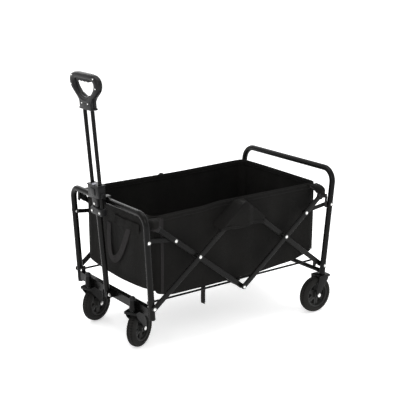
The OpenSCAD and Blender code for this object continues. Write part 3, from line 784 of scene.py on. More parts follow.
# rivets and bolts
def sided(point, reach):
    places = [Vector((point.x, side * reach, point.z)) for side in (-1, 1)]
    return places, [(0, side, 0) for side in (-1, 1)]


linkReach = {"front": 0.124, "rear": 0.131}   # from a crossing to the link's rivet, along the bar


def barPoint(crossing, way, reach):
    apex, cross = pivot("apex"), pivot(crossing)
    rise = Vector((abs(apex.x - cross.x), 0, apex.z - cross.z)).normalized()
    return cross + Vector((way * rise.x, 0, rise.z)) * reach


def makeRivets():
    domeOutline = [(0, 0.0034), (0.0022, 0.0032), (0.0042, 0.0024), (0.0057, 0.0012), (0.0063, 0.0),
                   (0, -0.0002)]
    ringOutline = [(0.0, -0.0004), (0.0086, -0.0004), (0.0092, 0.0001), (0.0088, 0.0007), (0.006, 0.0009),
                   (0, 0.0009)]
    dome, ring = unitShape("domeUnit", domeOutline, 20), unitShape("ringUnit", ringOutline, 24)
    outerFace, rearFace = span("bars_outer_front")[1].y, span("rear_frame")[1].y
    frontFace = span("front_frame")[1].y
    innerFace = span("bars_inner_front")[1].y
    lowPoint = span("floor_cross_tube")[2]
    rows = {
        "front": [(pivot("front_link_pivot"), frontFace)],
        "bars_outer_front": [(pivot("front_cross"), outerFace), (pivot("fold"), outerFace)],
        "bars_inner_front": [(barPoint("front_cross", -1, linkReach["front"]), innerFace)],
        "bars_outer_rear": [(pivot("rear_cross"), outerFace),
                            (barPoint("rear_cross", 1, linkReach["rear"]), outerFace),
                            (Vector((lowPoint.x, 0, lowPoint.z)), outerFace)],
        "rear": [(pivot("rear_leg_pivot"), rearFace), (pivot("rear_link_pivot"), rearFace)],
    }
    for body, seats in rows.items():
        places, aims = [], []
        for point, reach in seats:
            p, a = sided(point, reach)
            places, aims = places + p, aims + a
        washers = repeated(body + "Washers", places, aims, ring, "washer")
        lifted = [p + Vector(a) * 0.0005 for p, a in zip(places, aims)]
        domes = repeated(body + "Domes", lifted, aims, dome, "zinc")
        placed(washers, body, "cap_plastic")
        placed(domes, body, "zinc")
    for unit in (dome, ring):
        bpy.data.objects.remove(unit)


makeRivets()
print("stage: rivets")


# the cloth tub: one sewn shell, let sag by simulation
tubLook = {"cell": 0.012, "corner": 0.028, "cornerSteps": 6, "foldSteps": 3, "bottomRound": 0.010,
           "thick": 0.0016,
           "frames": 22, "spare": 0.004, "outCap": 0.005, "inCap": 0.012, "keepFolded": 0.29,
           "wallBulge": 0.004, "rearBulge": 0.010, "rearOut": 0.012}
tubLow, tubHigh, tubMid = span("tub_cloth")
# heights of the rim and of the bottom edge along the wagon, measured from the front wall
rimNear = [(0.0, 0.529), (0.20, 0.532), (0.31, 0.540), (0.784, 0.540)]
rimFar = [(0.0, 0.541), (0.40, 0.540), (0.784, 0.546)]
bottomLine = [(0.0, 0.247), (0.035, 0.226), (0.09, 0.2145), (0.47, 0.2145), (0.65, 0.226), (0.784, 0.246)]


def along(line, x):
    for (a, za), (b, zb) in zip(line, line[1:]):
        if x <= b:
            return mix(za, zb, ease((x - a) / (b - a)))
    return line[-1][1]


def rimHeight(x, y):
    t = (y - tubLow.y) / (tubHigh.y - tubLow.y)
    return mix(along(rimNear, x - tubLow.x), along(rimFar, x - tubLow.x), ease(t))


def edgeLift(x, y):
    # how far the bottom edge is drawn up by the corners
    rise = along(bottomLine, x - tubLow.x) - tubLow.z
    wide = abs(y - tubMid.y) / (tubHigh.y - tubMid.y)
    ends = min(x - tubLow.x, tubHigh.x - x) < tubLook["corner"]
    return rise * (mix(0.5, 1.0, wide ** 2) if ends else 1.0)


def floorLift(x, y, inset):
    return edgeLift(x, y) * (1 - ease(inset / 0.11))


def roundedLoop(inset):
    # points round the tub at an inset, always as many, from the far front corner
    x0, x1, y0, y1 = tubLow.x + inset, tubHigh.x - inset, tubLow.y + inset, tubHigh.y - inset
    radius = max(tubLook["corner"] - inset, 0.0)
    longSteps = round((tubHigh.x - tubLow.x - 2 * tubLook["corner"]) / tubLook["cell"])
    shortSteps = round((tubHigh.y - tubLow.y - 2 * tubLook["corner"]) / tubLook["cell"])
    corners = [((x0 + radius, y1 - radius), 90, shortSteps), ((x0 + radius, y0 + radius), 180, longSteps),
               ((x1 - radius, y0 + radius), 270, shortSteps), ((x1 - radius, y1 - radius), 0, longSteps)]
    points, marks = [], []
    for i, (centre, start, steps) in enumerate(corners):
        marks.append(len(points) + tubLook["cornerSteps"] // 2)
        points += arc(centre, radius, start, start + 90, tubLook["cornerSteps"])
        here, there = points[-1], corners[(i + 1) % 4]
        turn = math.radians(there[1])
        end = (there[0][0] + radius * math.cos(turn), there[0][1] + radius * math.sin(turn))
        points += [(mix(here[0], end[0], s / steps), mix(here[1], end[1], s / steps))
                   for s in range(1, steps)]
    return points, marks


def tubRings():
    outer, marks = roundedLoop(0.0)
    wallRows = round((tubHigh.z - tubLow.z) / tubLook["cell"])
    rings = []
    for row in range(wallRows + 1):
        t = row / wallRows
        ring = []
        for x, y in outer:
            top, bottom = rimHeight(x, y), tubLow.z + tubLook["bottomRound"] + edgeLift(x, y)
            swell = math.sin(math.pi * t)
            nx = (x - tubMid.x) / (tubHigh.x - tubMid.x)
            ny = (y - tubMid.y) / (tubHigh.y - tubMid.y)
            px, py = x, y
            if abs(ny) > 0.9:
                py += math.copysign(tubLook["wallBulge"] * swell * (1 - nx * nx), ny)
            px += tubLook["rearOut"] * ease((nx - 0.2) / 0.8)
            if nx > 0.9:
                px += (tubLook["rearBulge"] * (1 - ny * ny) * mix(0.35, 1.0, ease(t * 2))
                       * (1 - ease(t * 3 - 2)))
            ring.append(Vector((px, py, mix(top, bottom, t))))
        rings.append(ring)
    for step in range(1, tubLook["foldSteps"] + 1):
        turn = math.pi / 2 * step / tubLook["foldSteps"]
        inset = tubLook["bottomRound"] * (1 - math.cos(turn))
        drop = tubLook["bottomRound"] * (1 - math.sin(turn))
        ring = [Vector((x, y, tubLow.z + drop + floorLift(a, b, inset)))
                for (x, y), (a, b) in zip(roundedLoop(inset)[0], outer)]
        rings.append(ring)
    inner = (tubHigh.y - tubLow.y) / 2
    count = round((inner - tubLook["bottomRound"]) / (tubLook["cell"] * 1.6))
    for step in range(1, count + 1):
        inset = mix(tubLook["bottomRound"], inner, step / count)
        ring = [Vector((x, y, tubLow.z + floorLift(a, b, inset)))
                for (x, y), (a, b) in zip(roundedLoop(inset)[0], outer)]
        rings.append(ring)
    return rings, marks, wallRows


def shellFromRings(name, rings):
    # rings joined to one skin; points that meet are shared
    points, index, seen = [], [], {}
    for ring in rings:
        row = []
        for p in ring:
            key = tuple(round(c, 5) for c in p)
            if key not in seen:
                seen[key] = len(points)
                points.append(p)
            row.append(seen[key])
        index.append(row)
    faces = []
    for upper, lower in zip(index, index[1:]):
        for j in range(len(upper)):
            k = (j + 1) % len(upper)
            face = []
            for corner in (upper[j], lower[j], lower[k], upper[k]):
                if corner not in face:
                    face.append(corner)
            if len(face) > 2:
                faces.append(tuple(face))
    return built(name, points, faces), index


def sagged(obj, held, frames, spare, outCap, inCap):
    # gravity and a little spare cloth make the folds; then each point is kept near where it was cut
    start = [v.co.copy() for v in obj.data.vertices]
    normals = [v.normal.copy() for v in obj.data.vertices]
    group = obj.vertex_groups.new(name="held")
    for index, weight in held.items():
        group.add([index], weight, "REPLACE")
    mod = obj.modifiers.new("cloth", "CLOTH")
    cloth = mod.settings
    cloth.quality = 5
    cloth.mass = 0.25
    cloth.tension_stiffness = 18
    cloth.compression_stiffness = 10
    cloth.shear_stiffness = 6
    cloth.bending_stiffness = 9
    cloth.vertex_group_mass = "held"
    cloth.shrink_min = -spare
    mod.point_cache.frame_start, mod.point_cache.frame_end = 1, frames
    scene = bpy.context.scene
    for step in range(1, frames + 1):
        scene.frame_set(step)
    result = obj.evaluated_get(bpy.context.evaluated_depsgraph_get()).data
    ends = [v.co.copy() for v in result.vertices]
    obj.modifiers.clear()
    obj.vertex_groups.clear()
    scene.frame_set(1)
    for vert, before, after, normal in zip(obj.data.vertices, start, ends, normals):
        move = after - before
        out = move.dot(normal)
        kept = min(max(out, -inCap), outCap)
        vert.co = before + (move - normal * out) + normal * kept
    obj.data.update()


def thickened(obj, thick, levels=1, offset=-1.0):
    if levels:
        smooth = obj.modifiers.new("smooth", "SUBSURF")
        smooth.levels = smooth.render_levels = levels
    wall = obj.modifiers.new("wall", "SOLIDIFY")
    wall.thickness = thick
    wall.offset = offset
    settled(obj)
    obj.data.shade_smooth()
    return obj


def onTub(obj, slot, *stoodFor):
    # rides the tub body, with a mesh of its own
    placed(obj, "tub", slot, *stoodFor)
    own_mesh(obj)
    return obj


def outwardAt(ring, j):
    before, after = ring[j - 1], ring[(j + 1) % len(ring)]
    side = after - before
    return Vector((side.y, -side.x, 0)).normalized()


def makeTub():
    rings, marks, wallRows = tubRings()
    shell, index = shellFromRings("clothTub", rings)
    work = bmesh.new()
    work.from_mesh(shell.data)
    bmesh.ops.recalc_face_normals(work, faces=work.faces)
    work.faces.ensure_lookup_table()
    nearMiddle = Vector((tubMid.x, tubLow.y, tubMid.z))
    nearest = min(work.faces, key=lambda f: (f.calc_center_median() - nearMiddle).length)
    if nearest.normal.y > 0:
        bmesh.ops.reverse_faces(work, faces=work.faces)
    work.to_mesh(shell.data)
    work.free()
    shell.data.shade_smooth()
    held = {}
    for row, ring in enumerate(index):
        for j, vert in enumerate(ring):
            if row < 2 or row > wallRows + tubLook["foldSteps"] + 1:
                held[vert] = 1.0
            elif min(abs(j - m) for m in marks + [marks[0] + len(ring)]) <= 1:
                held[vert] = 0.7
    sagged(shell, held, tubLook["frames"], tubLook["spare"], tubLook["outCap"], tubLook["inCap"])
    where = [[shell.data.vertices[v].co.copy() for v in ring] for ring in index]
    length = [0.0]
    for a, b in zip(rings[0], rings[0][1:]):
        length.append(length[-1] + (b - a).length)
    coords = {}
    for row, ring in enumerate(index):
        for j, vert in enumerate(ring):
            if row <= wallRows + 1:
                coords[vert] = (length[j], rings[row][j].z)
            else:
                coords.setdefault(vert, (rings[row][j].x, rings[row][j].y))
    flatten(shell, coords)
    painted(shell, "cloth")
    thickened(shell, tubLook["thick"])
    onTub(shell, "cloth", "tub_cloth")
    return where[:wallRows + 1], marks


wallGrid, cornerMarks = makeTub()
print("stage: tub cloth")


# hem, corner bindings and their stitches
trimLook = {"hem": 0.022, "binding": 0.013, "stitchPitch": 0.0052, "stitch": 0.0036, "stitchWide": 0.00075}


def stitchUnit():
    half, wide = trimLook["stitch"] / 2, trimLook["stitchWide"] / 2
    profile = [(0, half), (wide * 0.8, half * 0.82), (wide, 0), (wide * 0.8, -half * 0.82), (0, -half)]
    return unitShape("stitchUnit", profile, 6)


def stitchesAlong(path, facings, lift, closed=False):
    # evenly spaced places along a path, each aimed the way the seam runs
    places, aims = [], []
    spare = 0.0
    pairs = list(zip(path, path[1:], facings))
    if closed:
        pairs.append((path[-1], path[0], facings[-1]))
    for a, b, out in pairs:
        step = (b - a).length
        at = spare
        while at < step:
            places.append(a + (b - a) * (at / step) + out * lift)
            aims.append((b - a).normalized())
            at += trimLook["stitchPitch"]
        spare = at - step
    return places, aims


def makeTrim():
    rim = wallGrid[0]
    outs = [outwardAt(rim, j) for j in range(len(rim))]
    hem = trimLook["hem"]
    wrap = [(hem, 0.0009), (hem - 0.001, 0.0015), (0.002, 0.0017), (-0.0012, 0.0011), (-0.0022, -0.0008),
            (-0.0012, -0.0027), (0.002, -0.0033), (hem - 0.001, -0.0031), (hem, -0.0025), (hem, -0.0017),
            (0.003, -0.0017), (0.003, 0.0002), (hem, 0.0002)]   # the tape's outline over the edge
    tape = ribbon("rimHem", rim, outs, 1.0, 1.0, True, wrap)
    onTub(painted(tape, "cloth"), "cloth")
    unit = stitchUnit()
    places, aims = [], []
    for down in (0.005, hem - 0.004):
        row = [p - Vector((0, 0, down)) for p in rim]
        for side in (0.0019, -0.0035):
            p, a = stitchesAlong(row, outs, side, True)
            places, aims = places + p, aims + a
    bindings = []
    for corner, mark in enumerate(cornerMarks):
        mark += 4 if corner == 1 else 0   # the near front seam lies round the corner
        column = [ring[mark] for ring in wallGrid[1:]]
        faceOuts = [outwardAt(ring, mark) for ring in wallGrid[1:]]
        column = [p + o * 0.0003 for p, o in zip(column, faceOuts)]
        bindings.append(ribbon("cornerBinding", column, faceOuts, trimLook["binding"], 0.0014))
        for side in (-1, 1):
            shifted = [p + Vector((-o.y, o.x, 0)) * side * (trimLook["binding"] / 2 - 0.0022) for p,
                       o in zip(column, faceOuts)]
            p, a = stitchesAlong(shifted, faceOuts, 0.0015)
            places, aims = places + p, aims + a
    onTub(painted(joined("cornerBindings", bindings), "webbing"), "webbing")
    stitches = repeated("seamStitches", places, aims, unit, "thread", 1.0, 0.08, 11)
    onTub(stitches, "webbing")
    bpy.data.objects.remove(unit)


makeTrim()
print("stage: hem and bindings")


# apex flaps: a tent of cloth over the crossing of the bars
flapLook = {"left": 0.121, "right": 0.097, "bottom": 0.438, "slope": 37.9, "cover": 0.0127,
            "seamRise": 0.016,
            "outLeft": 0.0055, "outRight": 0.0045, "thick": 0.0014, "steps": 56, "rows": 16}


def apexFlap(side):
    apex = pivot("apex")
    outer, inner = span("bars_outer_front")[1].y, span("bars_inner_front")[1].y
    slope = math.tan(math.radians(flapLook["slope"]))
    top = apex.z + flapLook["cover"]
    rings = []
    for i in range(flapLook["steps"] + 1):
        dx = mix(-flapLook["left"], flapLook["right"], i / flapLook["steps"])
        fold = top - slope * math.sqrt(dx * dx + 0.006 ** 2) + slope * 0.006
        reach = mix(outer + flapLook["outLeft"], mix(outer, inner, 0.35) + flapLook["outRight"],
                    ease((dx - 0.012) / 0.030))
        bottom = min(flapLook["bottom"], fold - 0.002) + 0.0025 * math.sin(dx * 55)
        wall = tubHigh.y + 0.0016
        seam = min(fold + flapLook["seamRise"], rimHeight(apex.x + dx, side * wall) - 0.004)
        row = [(wall, seam)]
        for step in range(1, 6):
            t = step / 6
            row.append((mix(wall, reach - 0.004, t),
                        mix(seam, fold + 0.0015, t) - 0.004 * math.sin(math.pi * t)))
        for step in range(4):
            turn = math.radians(90 - 30 * step)
            row.append((reach - 0.004 + 0.004 * math.cos(turn), fold - 0.0025 + 0.004 * math.sin(turn)))
        for step in range(1, flapLook["rows"] - 9):
            t = step / (flapLook["rows"] - 10)
            hang = 0.0016 * math.sin(math.pi * t) * math.sin(dx * 31 + 1.3)
            row.append((reach + hang, mix(fold - 0.0025, bottom, t)))
        rings.append([Vector((apex.x + dx, side * y, z)) for y, z in row])
    count = len(rings[0])
    points = [p for ring in rings for p in ring]
    faces = []
    for i in range(len(rings) - 1):
        for j in range(count - 1):
            a, b = i * count + j, (i + 1) * count + j
            faces.append((a, b, b + 1, a + 1) if side > 0 else (a, a + 1, b + 1, b))
    flap = built("apexFlap" + ("Far" if side > 0 else "Near"), points, faces)
    coords = {}
    for i, ring in enumerate(rings):
        down = 0.0
        for j, p in enumerate(ring):
            down += (p - ring[j - 1]).length if j else 0.0
            coords[i * count + j] = (p.x, down)
    flatten(flap, coords)
    area = sum(f.area for f in flap.data.polygons)
    edge = [ring[-1] for ring in rings]
    foldLine = [ring[7] for ring in rings]
    return thickened(painted(flap, "cloth"), flapLook["thick"], 1, 0.0), edge, foldLine, area


def makeFlaps():
    unit = stitchUnit()
    places, aims, tapes = [], [], []
    for side in (-1, 1):
        flap, edge, foldLine, area = apexFlap(side)
        out = Vector((0, side, 0))
        onTub(flap, "cloth", *(["apex_pockets"] if side < 0 else []))
        lifted = [p + out * 0.0008 + Vector((0, 0, 0.006)) for p in edge]
        tapes.append(ribbon("flapHem", lifted, [out] * len(edge), 0.012, 0.0007))
        for down in (0.0095, 0.0025):
            p, a = stitchesAlong([q + Vector((0, 0, down)) for q in edge], [out] * len(edge), 0.0018)
            places, aims = places + p, aims + a
        p, a = stitchesAlong([q - Vector((0, 0, 0.010)) for q in foldLine], [out] * len(edge), 0.0016)
        places, aims = places + p, aims + a
    onTub(painted(joined("flapHems", tapes), "cloth"), "cloth")
    onTub(repeated("flapStitches", places, aims, unit, "thread", 0.9, 0.08, 5), "webbing")
    bpy.data.objects.remove(unit)


makeFlaps()
print("stage: apex flaps")


# front wall: hanging loop, pocket flap, closing strap, corner pockets
frontLook = {"strap": 0.030, "thick": 0.0016, "proud": 0.006, "flap": (-0.155, 0.019, 0.449, 0.482),
             "loop": [(-0.081, 0.452), (-0.066, 0.415), (-0.046, 0.375), (-0.022, 0.338), (0.004, 0.311),
                      (0.028, 0.301),
                      (0.047, 0.312), (0.057, 0.345), (0.060, 0.395), (0.060, 0.441)]}


def smoothPath(points, steps):
    # a rounded path through the points
    path = []
    for i in range(len(points) - 1):
        a, b = points[max(i - 1, 0)], points[i]
        c, d = points[i + 1], points[min(i + 2, len(points) - 1)]
        for s in range(steps):
            t = s / steps
            path.append(between(a, b, c, d, t))
    path.append(points[-1].copy())
    return path


def wallFace(y, z):
    # the front wall's outer face at this place
    rows = [min(ring, key=lambda p: abs(p.y - y) + 4 * max(p.x - tubLow.x - 0.03, 0)) for ring in wallGrid]
    nearest = min(rows, key=lambda p: abs(p.z - z))
    return nearest.x


def makeFrontDetails():
    out = Vector((-1, 0, 0))
    count = len(frontLook["loop"]) - 1
    points = []
    for i, (y, z) in enumerate(frontLook["loop"]):
        stand = 0.0012 + frontLook["proud"] * math.sin(math.pi * i / count)
        points.append(Vector((wallFace(y, z) - stand, y, z)))
    path = smoothPath(points, 6)
    loop = ribbon("frontLoop", path, [out] * len(path), frontLook["strap"], frontLook["thick"])
    onTub(painted(loop, "webbing"), "webbing", "front_loop")
    y0, y1, z0, z1 = frontLook["flap"]
    columns, rows = 26, 8
    points, coords = [], []
    for i in range(columns + 1):
        for j in range(rows + 1):
            y, z = mix(y0, y1, i / columns), mix(z1, z0, j / rows)
            hang = 0.003 + 0.004 * (j / rows) + 0.0014 * math.sin(y * 60) * j / rows
            points.append(Vector((wallFace(y, z) - hang, y, z + 0.0015 * math.sin(y * 45))))
            coords.append((y, z))
    flap = built("frontFlap", points, gridFaces(columns, rows))
    flatten(flap, coords)
    flap = thickened(painted(flap, "cloth"), 0.0014, 1, 0.0)
    onTub(flap, "cloth")
    unit = stitchUnit()
    places, aims = [], []
    for end in (0, count):   # a sewn square at each end of the loop
        y, z = frontLook["loop"][end]
        x = wallFace(y, z) - frontLook["thick"] - 0.0016
        w, h = frontLook["strap"] / 2 - 0.003, 0.018
        low = z - h
        box = [Vector((x, y - w, z - 0.002)), Vector((x, y + w, z - 0.002)), Vector((x, y + w, low)),
               Vector((x, y - w, low))]
        square = box + [box[0], box[2], box[3], box[1]]
        p, a = stitchesAlong(square, [out] * len(square), 0.0004)
        places, aims = places + p, aims + a
    low, high, mid = span("closing_strap")
    tapes = []
    for shift, drop in ((0.0, 0.0), (0.0022, 0.006)):
        path = [Vector((low.x + shift + 0.0012 * math.sin(t * 5), mid.y + 0.002 * math.sin(t * 4),
                        mix(high.z, low.z + drop, t))) for t in [i / 14 for i in range(15)]]
        tapes.append(ribbon("tape", path, [out] * len(path), high.y - low.y, 0.0012))
    onTub(painted(joined("closingStrap", tapes), "webbing"), "webbing", "closing_strap")
    onTub(repeated("loopStitches", places, aims, unit, "thread", 0.9, 0.08, 7), "webbing")
    bpy.data.objects.remove(unit)


makeFrontDetails()
print("stage: front wall details")


# corner pockets: cloth hoods that take the bars' ends
pocketLook = {"past": 0.005, "reach": 0.058, "thick": 0.0014, "proud": 0.0024, "hem": 0.009}


def makePockets():
    parts, hems = [], []
    for node, way in (("front_corner_caps", 1), ("rear_corner_caps", -1)):
        low, high, _ = span(node)
        outerEnd = low.x - pocketLook["past"] if way > 0 else high.x + pocketLook["past"]
        for side in (-1, 1):
            wall, cover = tubHigh.y + 0.001, high.y + pocketLook["proud"]
            columns, rows = 26, 14
            points, coords = [], []
            for i in range(columns + 1):
                t = i / columns
                x = outerEnd + way * pocketLook["reach"] * t
                dome = math.sqrt(max(1 - (1 - min(t / 0.22, 1.0)) ** 2, 0))
                full = min(dome, 1 - 0.82 * ease((t - 0.45) / 0.55))
                reach = mix(wall, cover, max(full, 0.02))
                inside = min(max(x, tubLow.x + 0.002), tubHigh.x - 0.002)
                crest = rimHeight(inside, side * wall) - 0.004 - 0.010 * (1 - min(t / 0.25, 1.0)) ** 2
                edge = mix(low.z + 0.009, crest - 0.010, ease((t - 0.40) / 0.6)) + 0.0012 * math.sin(t * 17)
                shoulder = mix(crest, edge, 0.42)
                for s in range(rows + 1):
                    u = s / rows
                    turn = min(u / 0.62, 1.0) * math.pi / 2
                    y = mix(wall, reach, math.sin(turn))
                    z = mix(crest, shoulder, 1 - math.cos(turn))
                    if u >= 0.62:
                        z = mix(shoulder, edge, (u - 0.62) / 0.38)
                    points.append(Vector((x, side * y, z)))
                    coords.append((x, y + z))
            faces = gridFaces(columns, rows)
            if side * way < 0:
                faces = [tuple(reversed(quad)) for quad in faces]
            piece = built("pocket", points, faces)
            flatten(piece, coords)
            parts.append(thickened(painted(piece, "cloth"), pocketLook["thick"], 1, 0.0))
            line = [points[i * (rows + 1) + rows] + Vector((0, side * 0.0008, 0.004))
                    for i in range(1, columns + 1)]
            hems.append(ribbon("pocketHem", line, [Vector((0, side, 0.15))] * len(line), pocketLook["hem"],
                               0.0009))
            if way < 0:   # the pull tape's tail
                x, y = high.x - 0.004, side * (cover + 0.0012)
                tail = [Vector((x + 0.004 * s / 9, y + side * 0.002 * math.sin(s * 0.7),
                                low.z + 0.022 - 0.0062 * s))
                        for s in range(10)]
                hems.append(ribbon("tail", tail, [Vector((0, side, 0))] * 10, 0.013, 0.0012))
    onTub(joined("cornerPockets", parts), "cloth", "corner_tabs")
    onTub(painted(joined("pocketHems", hems), "webbing"), "webbing")


makePockets()
print("stage: corner pockets")


# floor mat: four stiffened pads sewn side by side
matLook = {"panels": 4, "gap": 0.005, "crown": 0.0045, "thick": 0.007, "clear": 0.0012, "seam": 0.014,
           "columns": 22, "rows": 44}


def matBase(x, y, floor):
    # the pads' underside, over the tub's drawn-up floor
    inset = min(x - tubLow.x, tubHigh.x - x, y - tubLow.y, tubHigh.y - y)
    return floor + floorLift(x, y, inset) + matLook["clear"]


def padShape(u, v):
    # how full a pad is at u, v from -1 to 1, and how high it is crowned there
    edge = (1 - u ** 8) * (1 - v ** 16)
    swell = matLook["crown"] * (1 - u * u * 0.75) * (1 - v * v * 0.6) + 0.0007 * math.sin(u * 9 + v * 7)
    return edge, swell


def makeMat():
    low, high, _ = span("floor_boards")
    width = (high.x - low.x) / matLook["panels"]
    columns, rows = matLook["columns"], matLook["rows"]
    places, aims = [], []
    for panel in range(matLook["panels"]):
        x0, x1 = low.x + panel * width + matLook["gap"] / 2, low.x + (panel + 1) * width - matLook["gap"] / 2
        points, coords = [], []
        for layer in (1, -1):
            for i in range(columns + 1):
                for j in range(rows + 1):
                    u, v = i / columns * 2 - 1, j / rows * 2 - 1
                    x, y = mix(x0, x1, (u + 1) / 2), mix(low.y, high.y, (v + 1) / 2)
                    pull = 0.004 * (1 - u * u) * (v ** 8)
                    y -= math.copysign(pull, v)
                    edge, swell = padShape(u, v)
                    z = matBase(x, y, low.z) + matLook["thick"] / 2
                    z += layer * matLook["thick"] / 2 * max(edge, 0.0) ** 0.5
                    if layer > 0:
                        z += swell * edge
                    points.append(Vector((x, y, z)))
                    coords.append((x, y))
        size = (columns + 1) * (rows + 1)
        faces = []
        for quad in gridFaces(columns, rows):
            faces += [quad, tuple(size + c for c in reversed(quad))]
        pad = built("matPanel" + str(panel + 1), points, faces)
        flatten(pad, coords)
        painted(pad, "cloth")
        tidy(pad, 0.0001, 60)
        onTub(pad, "board", *(["floor_boards"] if panel == 0 else []))
        seam = matLook["seam"]
        ring = [Vector((mix(x0, x1, 0.07), y, 0)) for y in (low.y + seam, high.y - seam)]
        ring += [Vector((mix(x0, x1, 0.93), y, 0)) for y in (high.y - seam, low.y + seam)]
        ring.append(ring[0])
        fine = []
        for a, b in zip(ring, ring[1:]):
            fine += [a.lerp(b, s / 24) for s in range(24)]
        for p in fine:
            u, v = (p.x - x0) / (x1 - x0) * 2 - 1, (p.y - low.y) / (high.y - low.y) * 2 - 1
            edge, swell = padShape(u, v)
            full = 1 + max(edge, 0.0) ** 0.5
            p.z = matBase(p.x, p.y, low.z) + matLook["thick"] / 2 * full + swell * edge
        pl, am = stitchesAlong(fine, [Vector((0, 0, 1))] * len(fine), 0.0003)
        places, aims = places + pl, aims + am
    unit = stitchUnit()
    onTub(repeated("matStitches", places, aims, unit, "thread", 1.0, 0.08, 9), "webbing")
    bpy.data.objects.remove(unit)


makeMat()
print("stage: floor mat")


# pull handle: grip, collar, slider and button
slideAxis, backAxis = Vector(joints["handle_slide"]["axis"]), Vector(joints["release_push"]["axis"])
handlePlace = Matrix.Translation(pivot("handle_tilt")) @ Matrix(
    ((0, slideAxis.x, backAxis.x, 0), (1, slideAxis.y, backAxis.y, 0), (0, slideAxis.z, backAxis.z, 0),
     (0, 0, 0, 1)))


def handleSpan(node):
    # a node's corners along the handle's own directions: across, along, backwards
    back = handlePlace.inverted()
    points = [back @ v.co for v in frame["nodes"][node].data.vertices]
    return [Vector(pick(p[i] for p in points) for i in range(3)) for pick in (min, max)]


gripLook = {"outer": [(0, 22), (26, 26), (52, 42), (74, 58), (91, 73), (100, 89), (101, 105), (92, 120),
                      (74, 130), (50, 133.5),
                      (24, 134), (0, 134)],
            "hole": [(0, 43), (19, 45), (37, 55), (52, 69), (62, 81), (67, 92), (65, 102), (57, 108),
                     (44, 110), (30, 110),
                     (15, 110), (0, 110)],
            "square": 0.82, "groove": 0.0003, "fine": 5, "around": 14, "neck": 0.034, "waves": 4,
            "drawn": (0.202, 0.134)}


def gripPath(points, scaleX, scaleY):
    # the half outline, mirrored to a closed smooth ring
    right = [Vector((x * scaleX, y * scaleY)) for x, y in points]
    ring = right + [Vector((-p.x, p.y)) for p in reversed(right[1:-1])]
    path = []
    count, steps = len(ring), gripLook["fine"]
    for i in range(count):
        a, b, c, d = (ring[(i + k) % count] for k in (-1, 0, 1, 2))
        for s in range(steps):
            t = s / steps
            path.append(between(a, b, c, d, t))
    return path


def gripShell(name, side, low, high):
    drawnWide, drawnHigh = gripLook["drawn"]   # the outlines are drawn in millimetres at this size
    scaleX = (high.x - low.x) / drawnWide / 1000
    scaleY = (high.y - low.y) / drawnHigh / 1000
    depth = (high.z - low.z) - 0.0005
    outer, hole = gripPath(gripLook["outer"], scaleX, scaleY), gripPath(gripLook["hole"], scaleX, scaleY)
    around, square, groove = gripLook["around"], gripLook["square"], gripLook["groove"]
    points, faces = [], []
    for o, h in zip(outer, hole):
        middle, reach = (o + h) / 2, (o - h) / 2
        for k in range(around + 1):
            t = math.pi * k / around
            c, s = math.cos(t), math.sin(t)
            across = middle + reach * math.copysign(abs(c) ** square, c)
            z = groove + (depth - groove) * abs(s) ** square
            points.append(Vector((across.x, low.y + across.y, side * z)))
    size, count = around + 1, len(outer)
    for i in range(count):
        here, there = i * size, (i + 1) % count * size
        for k in range(size):
            j = (k + 1) % size
            faces.append((here + k, here + j, there + j, there + k))
    ring = tidy(built(name, points, faces), 0.00001, 50)
    a, b = (groove, depth - 0.0012) if side > 0 else (-(depth - 0.0012), -groove)
    neck = roundedBlock(name + "Neck", (-0.0415, low.y + 0.002, a), (0.0415, low.y + gripLook["neck"], b),
                        0.004, None, 4)
    footBack = b + 0.0007 if side > 0 else b
    foot = roundedBlock(name + "Foot", (-0.0455, low.y, a), (0.0455, low.y + 0.008, footBack), 0.003, None,
                        4)
    web = [(-0.0415, 0.024), (0.0415, 0.024), (0.0445, 0.034), (0.056, 0.046), (0.037, 0.057),
           (0.019, 0.049), (0, 0.0465),
           (-0.019, 0.049), (-0.037, 0.057), (-0.056, 0.046), (-0.0445, 0.034)]
    webDepth = depth - groove - 0.0022
    lift = Matrix.Translation((0, low.y, side * (groove + webDepth / 2)))
    panel = plate(name + "Web", [web], webDepth, 0.0028, lift, 4)
    shell = joined(name, [ring, neck, foot, panel])
    shell.data.transform(handlePlace)
    return tidy(shell, 0.000005, 40)


